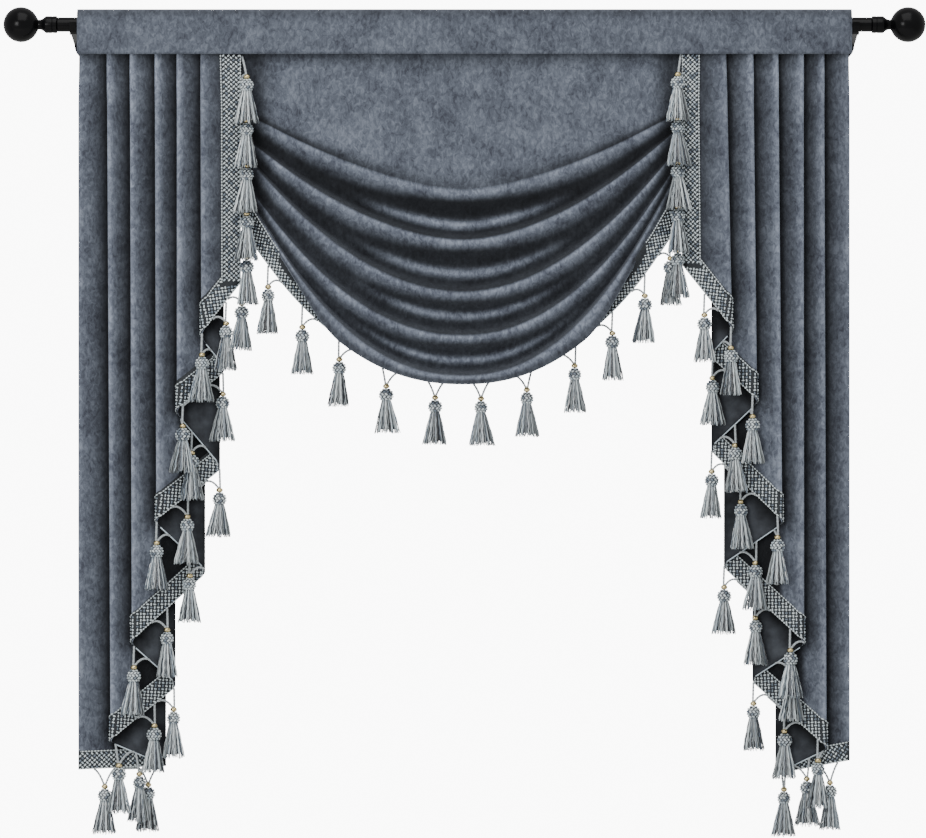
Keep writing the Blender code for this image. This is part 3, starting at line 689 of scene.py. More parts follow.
class Nodes:
    """A node material under construction."""

    def __init__(self, name):
        self.material = bpy.data.materials.new(name)
        self.material.use_nodes = True
        self.tree = self.material.node_tree
        self.shader = self.tree.nodes["Principled BSDF"]

    def add(self, kind, **settings):
        """Add a node and set its properties."""
        node = self.tree.nodes.new(kind)
        for name, value in settings.items():
            setattr(node, name, value)
        return node

    def link(self, source, target):
        """Link two sockets."""
        self.tree.links.new(source, target)

    def finished(self, colour, **values):
        """Link the base colour, set constants by socket name with _ for a space, and give the material."""
        self.link(colour, self.shader.inputs["Base Color"])
        for name, value in values.items():
            self.shader.inputs[name.replace("_", " ")].default_value = value
        return self.material

    def rough_between(self, factor, smooth, rough):
        """Let the roughness run between two values."""
        node = self.add("ShaderNodeMapRange")
        node.inputs["To Min"].default_value = smooth
        node.inputs["To Max"].default_value = rough
        self.link(factor, node.inputs["Value"])
        self.link(node.outputs["Result"], self.shader.inputs["Roughness"])

    def noise(self, vector, scale, detail, roughness, distortion=0.0):
        """A noise texture's factor."""
        node = self.add("ShaderNodeTexNoise")
        node.inputs["Scale"].default_value = scale
        node.inputs["Detail"].default_value = detail
        node.inputs["Roughness"].default_value = roughness
        node.inputs["Distortion"].default_value = distortion
        self.link(vector, node.inputs["Vector"])
        return node.outputs["Fac"]

    def ramp(self, factor, stops):
        """A colour ramp with stops of place and colour."""
        node = self.add("ShaderNodeValToRGB")
        elements = node.color_ramp.elements
        while len(elements) < len(stops):
            elements.new(0.5)
        for element, (place, colour) in zip(elements, stops):
            element.position = place
            element.color = colour
        self.link(factor, node.inputs["Fac"])
        return node.outputs["Color"]

    def multiplied(self, first, second):
        """The product of two colour sockets."""
        node = self.add("ShaderNodeMix", data_type="RGBA", blend_type="MULTIPLY")
        node.inputs["Factor"].default_value = 1.0
        self.link(first, node.inputs["A"])
        self.link(second, node.inputs["B"])
        return node.outputs["Result"]

    def math(self, operation, first, second):
        """A maths node on a socket and a socket or number."""
        node = self.add("ShaderNodeMath", operation=operation)
        self.link(first, node.inputs[0])
        if isinstance(second, float):
            node.inputs[1].default_value = second
        else:
            self.link(second, node.inputs[1])
        return node.outputs["Value"]

    def bump(self, height, distance, strength):
        """Feed a height into the shader's normal."""
        node = self.add("ShaderNodeBump")
        node.inputs["Strength"].default_value = strength
        node.inputs["Distance"].default_value = distance
        self.link(height, node.inputs["Height"])
        self.link(node.outputs["Normal"], self.shader.inputs["Normal"])

    def flat_place(self, stretch=(1.0, 1.0, 1.0)):
        """The place on the flat cloth, in metres, stretched by the given scale."""
        source = self.add("ShaderNodeUVMap", uv_map="flat")
        mapping = self.add("ShaderNodeMapping")
        mapping.inputs["Scale"].default_value = stretch
        self.link(source.outputs["UV"], mapping.inputs["Vector"])
        return mapping.outputs["Vector"]

    def object_place(self):
        """The place in the object's own space, in metres."""
        return self.add("ShaderNodeTexCoord").outputs["Object"]

    def tone(self):
        """The colour worked out for each point, with its painted light and shade."""
        return self.add("ShaderNodeVertexColor", layer_name="tone").outputs["Color"]


def velvet_material():
    """Crushed velvet: mottled slate blue pile with a soft sheen."""
    made = Nodes("slate velvet")
    place = made.flat_place()
    clouds = made.noise(place, *VELVET_CLOUDS)
    crush = made.noise(made.flat_place(CRUSH_STRETCH), *VELVET_CRUSH)
    mottle = made.math("ADD", made.math("MULTIPLY", clouds, 0.40), made.math("MULTIPLY", crush, 0.60))
    colour = made.ramp(mottle, ((0.36, VELVET_DARK), (0.50, VELVET_MIDDLE), (0.64, VELVET_LIGHT)))
    # The tone brings in the painted light and shade
    colour = made.multiplied(colour, made.tone())
    pile = made.noise(place, *VELVET_PILE)
    made.bump(made.math("ADD", made.math("MULTIPLY", pile, 0.4), crush), *VELVET_BUMP)
    return made.finished(
        colour, Roughness=0.85, Specular_IOR_Level=0.15,
        Sheen_Weight=0.35, Sheen_Roughness=0.45, Sheen_Tint=(0.75, 0.82, 0.95, 1.0),
    )


def wrong_side_material():
    """The velvet's wrong side: a flat, near-black weave."""
    made = Nodes("velvet wrong side")
    clouds = made.noise(made.flat_place(), *LINING_CLOUDS)
    weave = made.noise(made.flat_place(WEAVE_STRETCH), *WEAVE)
    colour = made.ramp(clouds, ((0.35, LINING_DARK), (0.7, LINING_LIGHT)))
    made.bump(weave, *FINE_BUMP)
    # The tone brings in the painted shade and sheen
    return made.finished(made.multiplied(colour, made.tone()), Roughness=0.9, Specular_IOR_Level=0.1)


def ground_material():
    """The dark ground between the plaits of the braid."""
    made = Nodes("braid ground")
    weave = made.noise(made.object_place(), *WEAVE)
    made.bump(weave, *GROUND_BUMP)
    return made.finished(made.ramp(weave, ((0.3, BAND_GROUND), (0.8, BAND_THREAD))), Roughness=0.8)


def yarn_material(name, roughness):
    """Silvery rayon yarn in the colour worked out for each point, with its painted shade and, on the
    tassels, painted highlights.
    """
    made = Nodes(name)
    fibres = made.noise(made.object_place(), *YARN_FIBRES)
    shades = made.ramp(fibres, ((0.25, FIBRE), (0.75, WHITE)))
    made.bump(fibres, *FINE_BUMP)
    return made.finished(
        made.multiplied(made.tone(), shades),
        Roughness=roughness, Specular_IOR_Level=0.9, Sheen_Weight=0.6, Sheen_Roughness=0.3,
    )


def gold_material():
    """Worn gilt of the small beads."""
    made = Nodes("gilt bead")
    wear = made.noise(made.object_place(), *GILT_WEAR)
    made.rough_between(wear, 0.12, 0.3)
    return made.finished(made.ramp(wear, ((0.3, WORN_GOLD), (0.6, GOLD))), Metallic=1.0)


def black_material():
    """Satin black powder coat."""
    made = Nodes("satin black coat")
    grain = made.noise(made.object_place(), *COAT_GRAIN)
    cloud = made.noise(made.object_place(), *COAT_CLOUDS)
    colour = made.ramp(cloud, ((0.3, BLACK), (0.8, WORN_BLACK)))
    made.rough_between(cloud, 0.16, 0.28)
    made.bump(grain, *COAT_BUMP)
    return made.finished(colour, Specular_IOR_Level=0.10, Coat_Weight=0.02, Coat_Roughness=0.15)


# Header


def header_section(distance):
    """The middle line of the rod pocket, from its back foot over the rod to its front foot."""
    toward_panels = ease((distance - SEAM_STEP_START) / (SEAM_STEP_END - SEAM_STEP_START))
    seam = lerp(BACK_SEAM_SWAG, BACK_SEAM_PANELS, toward_panels)
    front = ROD_OUT - POCKET_RADIUS
    back = ROD_OUT + POCKET_RADIUS
    top = ROD_RADIUS - POCKET_RADIUS
    line = [(front, lerp(HEADER_FOOT, top, step / FACE_STEPS)) for step in range(FACE_STEPS)]
    line.append((front, top))
    for step in range(2 * FACE_STEPS + 1):
        angle = math.pi * (1.0 - step / (2.0 * FACE_STEPS))
        out = ROD_OUT + POCKET_RADIUS * math.cos(angle)
        line.append((out, POCKET_CENTRE + POCKET_RADIUS * math.sin(angle)))
    for step in range(1, BACK_STEPS + 1):
        line.append((back, lerp(POCKET_CENTRE, BACK_STRAIGHT_TO, step / BACK_STEPS)))
    for step in range(1, STEP_STEPS + 1):
        share = step / STEP_STEPS
        line.append((lerp(back, seam, ease(share)), lerp(BACK_STRAIGHT_TO, BACK_SEAM_FROM, share)))
    for step in range(1, SEAM_STEPS + 1):
        line.append((seam, lerp(BACK_SEAM_FROM, HEADER_FOOT, step / SEAM_STEPS)))
    return line[::-1]


def header_painted_shade(from_foot):
    """How light the header is by the distance from its front foot: painted shade in the pressed seam and
    over the top, where the pocket turns away from the light.
    """
    seam = 1.0 - SEAM_SHADE * ease(1.0 - abs(from_foot - SEAM_CENTRE) / SEAM_REACH)
    top = lerp(1.0, HEADER_TOP_TONE, ease((from_foot - HEADER_FACE) / HEADER_TOP_REACH))
    return HEADER_TONE * seam * top


def make_header(velvet, wrong_side):
    """The rod pocket, with painted shade along the pressed seam at its foot."""
    steps = range(HEADER_STATIONS + 1)
    stations = [HEADER_HALF_LENGTH * (2.0 * step / HEADER_STATIONS - 1.0) for step in steps]
    sections = [header_section(abs(station)) for station in stations]
    from_foot = [0.0]
    for before, after in zip(sections[0][::-1], sections[0][-2::-1]):
        from_foot.append(from_foot[-1] + math.dist(before, after))
    from_foot.reverse()
    grid = []
    for row in range(len(from_foot)):
        grid.append([Vector((station, *section[row])) for station, section in zip(stations, sections)])
    flats = [[(station, distance) for station in stations] for distance in from_foot]
    tones = [[header_painted_shade(distance)] * len(stations) for distance in from_foot]
    shape = Shape()
    add_slab(shape, grid, (HEADER_HALF_THICK, -HEADER_HALF_THICK), 1, tones, flats, 1)
    made = fit(shape.to_object("header_cloth", [velvet, wrong_side]), "velvet", "header")


# Side panels


def corner_distance(corner, height):
    """How far a pleat corner is from the middle at a height."""
    name, at_header, at_edge, edge_height = corner
    return lerp(at_header, at_edge, (CLOTH_TOP - height) / (CLOTH_TOP - edge_height))


def run_of(edge):
    """The run of cloth between two pleat corners that an edge coordinate lies on."""
    return min(int(edge), LAST_CORNER - 1)


def pleats_passed(corners, distance, height):
    """How many pleat tips lie between the first tip and a distance, as a smooth count."""
    tips = [corner_distance(corners[index], height) for index in range(1, LAST_CORNER + 1, 2)]
    count, share = segment(tips, distance)
    return min(count + share, len(tips) - 1.0)


def layer_out(corners, run, distance, height):
    """The depth of one layer of the pleated stack, negative to the front."""
    relaxed = ease((BRAID_TOP - height) / (BRAID_TOP - RELAXED_BELOW))
    front = lerp(PANEL_FRONT_TOP, PANEL_FRONT_LOW, relaxed)
    pitch = lerp(LAYER_PITCH_TOP, LAYER_PITCH_LOW, relaxed)
    index = run - 2.0 * pleats_passed(corners, distance, height)
    if run == 0:
        index *= FIRST_FACE_SLOPE
    depth = front + pitch * index + relaxed * WAVE_HEIGHT * math.sin(distance / WAVE_LENGTH)
    if run % 2 == 0 and run + 1 < LAST_CORNER:
        to_tip = corner_distance(corners[run + 1], height) - distance
        depth -= relaxed * TIP_BULGE * ease(1.0 - to_tip / TIP_BULGE_REACH)
    return depth


def fold_at(corners, corner, height):
    """The fold that turns one layer into the next: centre distance, centre depth, radius, direction."""
    distance = corner_distance(corners[corner], height)
    outward = 1.0 if corner % 2 else -1.0
    gap = layer_out(corners, corner, distance, height) - layer_out(corners, corner - 1, distance, height)
    centre = distance - outward * gap / 2.0
    front = layer_out(corners, corner - 1, centre, height)
    back = layer_out(corners, corner, centre, height)
    return centre, (front + back) / 2.0, (back - front) / 2.0, outward


def turn_share(corners, run):
    """The share of a run that each of its quarter turns takes."""
    length = abs(corners[run + 1][2] - corners[run][2])
    return min(TURN_ARC / length, TURN_MOST)


def panel_point(corners, edge, height):
    """A point of the panel's middle surface, at an edge coordinate and a height."""
    run = run_of(edge)
    along = edge - run
    turn = turn_share(corners, run)
    starts = run > 0
    ends = run + 1 < LAST_CORNER
    if starts and along < turn:
        centre, middle, radius, outward = fold_at(corners, run, height)
        angle = math.radians(90.0 * (1.0 - along / turn))
        distance = centre + outward * radius * math.sin(angle)
        return Vector((distance, middle + radius * math.cos(angle), height))
    if ends and along > 1.0 - turn:
        centre, middle, radius, outward = fold_at(corners, run + 1, height)
        angle = math.radians(90.0 * (1.0 - (1.0 - along) / turn))
        distance = centre + outward * radius * math.sin(angle)
        return Vector((distance, middle - radius * math.cos(angle), height))
    start_share = turn if starts else 0.0
    end_share = 1.0 - turn if ends else 1.0
    start = fold_at(corners, run, height)[0] if starts else corner_distance(corners[run], height)
    end = fold_at(corners, run + 1, height)[0] if ends else corner_distance(corners[run + 1], height)
    distance = lerp(start, end, (along - start_share) / (end_share - start_share))
    return Vector((distance, layer_out(corners, run, distance, height), height))


def cut_height(corners, edge):
    """The height of the slanted cut edge."""
    run = run_of(edge)
    return lerp(corners[run][3], corners[run + 1][3], edge - run)


def band_rise(corners, run):
    """The upright reach of the braid on a run, wider where the edge is steep."""
    slope = (corners[run + 1][3] - corners[run][3]) / (corners[run + 1][2] - corners[run][2])
    return BRAID_WIDTH * math.hypot(1.0, slope)


def band_height(corners, edge):
    """The upright reach of the braid, blended from corner to corner."""
    run = run_of(edge)
    before = (band_rise(corners, max(run - 1, 0)) + band_rise(corners, run)) / 2.0
    after = (band_rise(corners, run) + band_rise(corners, min(run + 1, LAST_CORNER - 1))) / 2.0
    return lerp(before, after, edge - run)


def panel_edges(corners):
    """The edge coordinates of the dressed panel's columns."""
    edges = []
    for run in range(LAST_CORNER):
        length = abs(corners[run + 1][2] - corners[run][2])
        turn = turn_share(corners, run)
        start = turn if run > 0 else 0.0
        end = 1.0 - turn if run + 1 < LAST_CORNER else 1.0
        if run > 0:
            edges += [run + turn * step / FOLD_STEPS for step in range(FOLD_STEPS)]
        steps = max(LEAST_RUN_STEPS, round(length * (end - start) / PANEL_STEP))
        edges += [run + lerp(start, end, step / steps) for step in range(steps)]
        if run + 1 < LAST_CORNER:
            edges += [run + 1.0 - turn * (1.0 - step / FOLD_STEPS) for step in range(FOLD_STEPS)]
    edges.append(float(LAST_CORNER))
    return edges


def panel_painted_light(corners, edge, place):
    """Painted light and shade on the panel: a painted highlight at each pleat's tip, painted shadow under
    the one before, behind its tip, beside the braid and under the header, and painted shade on the
    turned-back runs.
    """
    run = run_of(edge)
    if run % 2:
        return TURNED_TONE
    height = place.z
    tone = 1.0
    if run > 0:
        cover = corner_distance(corners[run - 1], height)
        from_cover = place.x - cover
        covered = ease((height - corners[run - 1][3] + COVER_LEAD) / COVER_FADE)
        shaded = lerp(COVERED_TONE, 1.0, ease((from_cover + COVER_OVERLAP) / COVER_REACH))
        tone *= lerp(1.0, shaded, covered)
        behind = ease((cover - place.x + BEHIND_TIP_LEAD) / BEHIND_TIP_REACH)
        tone *= lerp(1.0, BEHIND_TIP_TONE, behind)
    else:
        from_edge = place.x - corner_distance(corners[0], height)
        past_braid = (from_edge - BRAID_WIDTH + INNER_EDGE_OVERLAP) / INNER_EDGE_REACH
        tone *= lerp(INNER_EDGE_TONE, 1.0, ease(past_braid))
    to_tip = corner_distance(corners[run + 1], height) - place.x
    if run + 1 == LAST_CORNER:
        gleam = OUTER_EDGE_GLEAM
    else:
        gleam = TIP_GLEAM if run > 0 else FIRST_TIP_GLEAM
    tone *= 1.0 + gleam * ease(1.0 - to_tip / TIP_GLEAM_REACH)
    header_shade = ease((CLOTH_TOP - HEADER_SHADE_GAP - height) / HEADER_SHADE_REACH)
    return tone * lerp(HEADER_SHADE_TONE, 1.0, header_shade)


def wrong_side_painted_light(corners, edge, place):
    """Painted light and shade on the panel's wrong side: painted shade under the run that covers it in
    front and towards its folds, and a painted sheen in the middle of each run.
    """
    run = run_of(edge)
    if run % 2 == 0:
        return BACK_TONE
    above, below = corners[run - 1], corners[run]
    cover_foot = lerp(above[3], below[3], (place.x - above[2]) / (below[2] - above[2]))
    open_share = ease((cover_foot - place.z) / WRONG_SIDE_SHADE) * math.sin(math.pi * (edge - run))
    return lerp(*WRONG_SIDE_TONES, open_share)


def panel_lengths(corners, edges):
    """The distance along the cloth at each edge coordinate."""
    travelled = [0.0]
    before = panel_point(corners, edges[0], RELAXED_BELOW)
    for edge in edges[1:]:
        after = panel_point(corners, edge, RELAXED_BELOW)
        travelled.append(travelled[-1] + (after - before).length)
        before = after
    return travelled


def make_panel(name, velvet, wrong_side):
    """One pleated cascade."""
    corners = PANEL_CORNERS[name]
    edges = panel_edges(corners)
    lengths = panel_lengths(corners, edges)
    feet = [cut_height(corners, edge) for edge in edges]
    braids = [foot + band_height(corners, edge) for foot, edge in zip(feet, edges)]
    levels = []
    for row in range(PANEL_ROWS + 1):
        levels.append([lerp(CLOTH_TOP, braid, row / PANEL_ROWS) for braid in braids])
    for row in range(1, BAND_ROWS + 1):
        levels.append([lerp(braid, foot, row / BAND_ROWS) for braid, foot in zip(braids, feet)])
    grid = []
    tones = []
    back_tones = []
    flats = []
    for heights in levels:
        line = [panel_point(corners, edge, height) for edge, height in zip(edges, heights)]
        grid.append(line)
        tones.append([panel_painted_light(corners, edge, place) for edge, place in zip(edges, line)])
        back_tones.append([wrong_side_painted_light(corners, edge, place) for edge, place in zip(edges, line)])
        flats.append(list(zip(lengths, heights)))
    shape = Shape()
    sides = (CLOTH_HALF_THICK, -CLOTH_HALF_THICK)
    add_slab(shape, grid, sides, SIDES[name], tones, flats, 1, back_tones)
    made = fit(shape.to_object(f"panel_{name}_cloth", [velvet, wrong_side]), "velvet", "panel_" + name)


# Braid


def silk_colour(dice):
    """One of the silk's shades, a little darker or brighter."""
    glow = dice.uniform(*SILK_GLOW)
    return tuple(min(1.0, value * glow) for value in dice.choice(PLAIT_SHADES))


def add_plait(shape, surface, length, width_at, dice, keep):
    """Cover a strip with over-and-under lumps that lean left and right in turn.

    surface(across, along) gives a place on the strip's ground and the direction out of it.
    keep(across, along) says whether a place belongs to this strip.
    """
    pitch = PLAIT / math.sqrt(2.0)
    for row in range(int(length / pitch)):
        along = (row + 0.5) * pitch
        across = BAND_MARGIN + (row % 2) * pitch
        while across <= width_at(along) - BAND_MARGIN + 0.2:
            if keep(across, along):
                place, out = surface(across, along)
                forward = (surface(across, along + 0.5)[0] - place).normalized()
                sideways = out.cross(forward)
                tilt = math.radians(GRAIN_TILT if row % 2 else -GRAIN_TILT)
                direction = forward * math.cos(tilt) + sideways * math.sin(tilt)
                size = (GRAIN_LENGTH, GRAIN_WIDTH, GRAIN_HEIGHT * dice.uniform(*GRAIN_HEIGHTS))
                add_grain(shape, place, direction, out, size, silk_colour(dice))
            across += 2.0 * pitch


def add_picot(shape, surface, length, across_at, keep):
    """A fine looped cord along one edge of a strip, with painted shade where it dips between its loops."""
    run = []
    for step in range(int(length / PICOT_STEP) + 2):
        along = step * PICOT_STEP
        across = across_at(along)
        if along < length and keep(across, along):
            run.append((along, *surface(across, along)))
            continue
        if len(run) > 2:
            bumps = [abs(math.sin(math.pi * along / PICOT_PITCH)) for along, place, out in run]
            path = [place + out * PICOT_RISE for along, place, out in run]
            radii = [lerp(*PICOT_RADIUS, bump) for bump in bumps]
            colours = [tuple(value * lerp(*PICOT_SHADE_TONES, bump) for value in SILVER) for bump in bumps]
            add_tube(shape, path, radii, PICOT_SIDES, colours, [out for along, place, out in run])
        run = []


def add_band(shape, surface, length, width_at, dice, keep):
    """The plait and the two picot cords of a strip of braid."""
    add_plait(shape, surface, length, width_at, dice, keep)
    add_picot(shape, surface, length, lambda along: PICOT_INSET, keep)
    add_picot(shape, surface, length, lambda along: width_at(along) - PICOT_INSET, keep)


def braid_ground_level():
    """How far the plait's ground lies in front of the cloth's middle surface."""
    return CLOTH_HALF_THICK + PIECE_GAP + BAND_THICK


def panel_normal(corners, edge, height):
    """The unit normal of a panel towards its right side."""
    before = panel_point(corners, max(edge - NORMAL_STEP, 0.0), height)
    after = panel_point(corners, min(edge + NORMAL_STEP, float(LAST_CORNER)), height)
    above = panel_point(corners, edge, height + 1.0)
    below = panel_point(corners, edge, height - 1.0)
    return (below - above).cross(after - before).normalized()


class CutEdge:
    """The slanted cut of a panel on the unfolded cloth, measured along its length."""

    def __init__(self, corners):
        self.heights = [corner[3] for corner in corners]
        self.spreads = [0.0]
        self.lengths = [0.0]
        for before, after in zip(corners, corners[1:]):
            spread = abs(after[2] - before[2])
            self.spreads.append(self.spreads[-1] + spread)
            self.lengths.append(self.lengths[-1] + math.hypot(spread, after[3] - before[3]))
        self.total = self.lengths[-1]

    def at(self, along):
        """A place on the cut, or past its ends: how far across the unfolded cloth, and its height."""
        run, share = segment(self.lengths, along)
        spread = lerp(self.spreads[run], self.spreads[run + 1], share)
        return spread, lerp(self.heights[run], self.heights[run + 1], share)

    def inside(self, across, along):
        """A place on the unfolded cloth, a distance square to the cut."""
        spread, height = self.at(along)
        before = self.at(along - CUT_BEND)
        after = self.at(along + CUT_BEND)
        length = math.dist(before, after)
        spread += across * (before[1] - after[1]) / length
        height += across * (after[0] - before[0]) / length
        return spread, height

    def edge_at(self, spread):
        """The edge coordinate at a distance across the unfolded cloth."""
        run, share = segment(self.spreads, spread)
        return run + share


def add_rim_cord(shape, corners, run, side):
    """The fringe's cord along the cut of a run whose wrong side faces the front."""
    turn = turn_share(corners, run)
    path = []
    for step in range(RIM_STEPS + 1):
        edge = run + lerp(turn, 1.0 - turn, step / RIM_STEPS)
        path.append(mirror(panel_point(corners, edge, cut_height(corners, edge) - RIM_DROP), side))
    count = len(path)
    add_tube(shape, path, [RIM_RADIUS] * count, RIM_SIDES, [ICE] * count, [FORWARD] * count)


def braid_ground(corners):
    """The two grids of the braid's ground: down the inner edge, and along the slanted cut."""
    first_run = abs(corners[1][2] - corners[0][2])
    upright = []
    for row in range(GROUND_ROWS + 1):
        line = []
        for column in range(GROUND_COLUMNS + 1):
            edge = BRAID_WIDTH / first_run * column / GROUND_COLUMNS
            foot = cut_height(corners, edge) + band_height(corners, edge)
            line.append(panel_point(corners, edge, lerp(BRAID_TOP, foot, row / GROUND_ROWS)))
        upright.append(line)
    edges = panel_edges(corners)
    slanted = []
    for row in range(SLANTED_ROWS + 1):
        rise = 1.0 - row / SLANTED_ROWS
        heights = [cut_height(corners, edge) + band_height(corners, edge) * rise for edge in edges]
        slanted.append([panel_point(corners, edge, height) for edge, height in zip(edges, heights)])
    return upright, slanted


def make_panel_braid(name, ground, silk):
    """The braid along a panel's inner edge and its slanted cut edge."""
    corners = PANEL_CORNERS[name]
    side = SIDES[name]
    cut = CutEdge(corners)
    level = braid_ground_level()
    inner_foot = corners[0][3]
    outer_foot = cut.inside(BRAID_WIDTH, cut.spreads[1] * 0.5)
    slope = (outer_foot[1] - inner_foot) / max(outer_foot[0], BRAID_WIDTH)

    def on_ground(spread, height):
        edge = max(0.0, min(float(LAST_CORNER), cut.edge_at(spread)))
        out = panel_normal(corners, edge, height)
        return mirror(panel_point(corners, edge, height) + out * level, side), mirror(out, side)

    def mitre(spread):
        return inner_foot + slope * spread

    def upright(across, along):
        return on_ground(across, BRAID_TOP - along)

    def in_upright(across, along):
        return BRAID_TOP - along > mitre(across)

    def slanted(across, along):
        return on_ground(*cut.inside(across, along - CUT_LEAD))

    def in_slanted(across, along):
        spread, height = cut.inside(across, along - CUT_LEAD)
        if spread < PICOT_INSET or spread > cut.spreads[-1] - PICOT_INSET:
            return False
        return spread > BRAID_WIDTH or height < mitre(spread)

    base = Shape()
    for grid in braid_ground(corners):
        add_slab(base, grid, (level, CLOTH_HALF_THICK + PIECE_GAP), side)
    made = fit(base.to_object(f"braid_{name}_ground", [ground]), "braid", "braid_" + name)

    dice = random.Random("braid " + name)
    weave = Shape()
    upright_length = BRAID_TOP - inner_foot
    add_band(weave, upright, upright_length, lambda along: BRAID_WIDTH, dice, in_upright)
    add_band(weave, slanted, cut.total + 2.0 * CUT_LEAD, lambda along: BRAID_WIDTH, dice, in_slanted)
    for run in range(1, LAST_CORNER, 2):
        add_rim_cord(weave, corners, run, side)
    plait = fit(weave.to_object(f"braid_{name}_plait", [silk]), "braid")


# Swag


def swag_line(line, across):
    """The height of a crest line or of the lower edge."""
    name, left, middle, right, steepness, forward = line
    end = left if across < 0 else right
    return lerp(middle, end, abs(across) ** steepness)


def swag_reaches(heights, scale):
    """How far forward each fold stands, less where the folds crowd together."""
    gaps = [above - below for above, below in zip(heights, heights[1:])]
    rooms = [min(pair) for pair in zip([gaps[0], *gaps], [*gaps, gaps[-1]])]
    shares = [min(1.0, room / SWAG_FULL_ROOM) ** SWAG_CROWDING for room in rooms]
    return [line[5] * scale * share for line, share in zip(SWAG_CRESTS, shares)]


def swag_painted_light(station, across):
    """Painted light and shade on the swag: near black painted shade between the crests, painted highlights
    on the crests and on a soft ridge in the middle.

    A station is 0 at the header, 1 to 5 on the crests and 6 at the top of the braid.
    """
    if station <= 1.0:
        top = lerp(APRON_TOP_TONE, 1.0, ease(station / APRON_TOP_REACH))
        foot_tone = lerp(*APRON_FOOT_TONES, ease(abs(across) / APRON_SIDE))
        foot = lerp(1.0, foot_tone, ease((station - APRON_FOOT[0]) / APRON_FOOT[1]))
        return lerp(top * foot, CREST_TONE, ease((station - FIRST_CREST[0]) / FIRST_CREST[1]))
    if station >= 5.0:
        under = lerp(CREST_TONE, BELLY_TONES[0], ease((station - 5.0) / BELLY_SHADE_REACH))
        below = station - 5.0 - BELLY_SHADE_REACH
        return lerp(under, BELLY_TONES[1], ease(below / BELLY_FOOT_REACH))
    share = station - int(station)
    crest_light = lerp(*CREST_LIGHT, ease(abs(across) / CREST_LIGHT_SIDE))
    valley = lerp(*VALLEY_TONE, (station - 1.0) / 4.0)
    fall = lerp(CREST_TONE, valley, ease(share / crest_light))
    rise = ease((share - CREST_RISE[0]) / CREST_RISE[1])
    return lerp(fall + RIDGE_TONE * middle_ridge(station, across), CREST_TONE, rise)


def middle_ridge(station, across):
    """How strongly a place lies on one of the small ridges between two crests, from 0 to 1."""
    fold = int(station) - 1
    if not 0 <= fold < len(MIDDLE_RIDGES):
        return 0.0
    place, strength = MIDDLE_RIDGES[fold]
    off = (station - 1.0 - fold - place) / RIDGE_REACH
    return strength * math.exp(-off * off) * ease((RIDGE_END - abs(across)) / RIDGE_FADE)


def swag_column(across):
    """One column of the swag's middle surface and its stations, from the header down to its hem."""
    tuck = ease((abs(across) - SWAG_TUCK[0]) / (SWAG_TUCK[1] - SWAG_TUCK[0]))
    top_out = lerp(SWAG_TOP_OUT, SWAG_TOP_OUT_ENDS, tuck)
    out = lerp(SWAG_OUT, SWAG_OUT_ENDS, tuck)
    to_end = min(abs(across), 1.0) ** 2
    heights = [swag_line(line, across) for line in SWAG_CRESTS]
    reaches = swag_reaches(heights, lerp(1.0, SWAG_TUCKED_DEPTH, tuck))
    points = [(top_out, CLOTH_TOP), (top_out, BRAID_TOP)]
    stations = [-0.1, 0.0]
    for share, forward in SWAG_APRON:
        apron_out = lerp(top_out, out, share) - reaches[0] * forward
        points.append((apron_out, lerp(BRAID_TOP, heights[0], share)))
        stations.append(share)
    for index, reach in enumerate(reaches):
        points.append((out - reach, heights[index]))
        stations.append(1.0 + index)
        if index + 1 < len(reaches):
            for share, middle, end in SWAG_VALLEY:
                forward = lerp(reach, reaches[index + 1], share) * lerp(middle, end, to_end)
                points.append((out - forward, lerp(heights[index], heights[index + 1], share)))
                stations.append(1.0 + index + share)
    start, full = BELLY_HIDES_HEM
    hidden = ease((start - abs(across)) / (start - full))
    hem = swag_line(SWAG_EDGE, across) + HEM_RAISED * hidden
    braid_top = hem + BRAID_WIDTH
    for over_hem, forward_hidden, share, forward_open in BELLY:
        height = lerp(lerp(heights[-1], braid_top + HEM_TURN_OPEN, share), hem + over_hem, hidden)
        points.append((out - lerp(reaches[-1] * forward_open, forward_hidden, hidden), height))
        stations.append(5.0 + share)
    back = out + HEM_BACK * math.sqrt(hidden)
    turn = lerp(HEM_TURN_OPEN, HEM_TURN, hidden)
    points += [(back, braid_top + turn), (back, braid_top), (back, hem)]
    stations += [6.0, 6.0, 6.0]
    return [Vector((SWAG_MIDDLE + SWAG_HALF_SPAN * across, *point)) for point in points], stations


def refined(column, stations):
    """A column with more points, its folds rounded, and the stations that go with them."""
    places = []
    finer = []
    for index in range(len(column) - 1):
        for step in range(SWAG_FINE):
            share = step / SWAG_FINE
            places.append(column[index].lerp(column[index + 1], share))
            finer.append(lerp(stations[index], stations[index + 1], share))
    places.append(column[-1])
    finer.append(stations[-1])
    fixed = 3 * SWAG_FINE
    for _ in range(SWAG_SMOOTHING):
        softer = list(places)
        for index in range(1, len(places) - fixed):
            softer[index] = places[index] * 0.5 + (places[index - 1] + places[index + 1]) * 0.25
        places = softer
    return places, finer


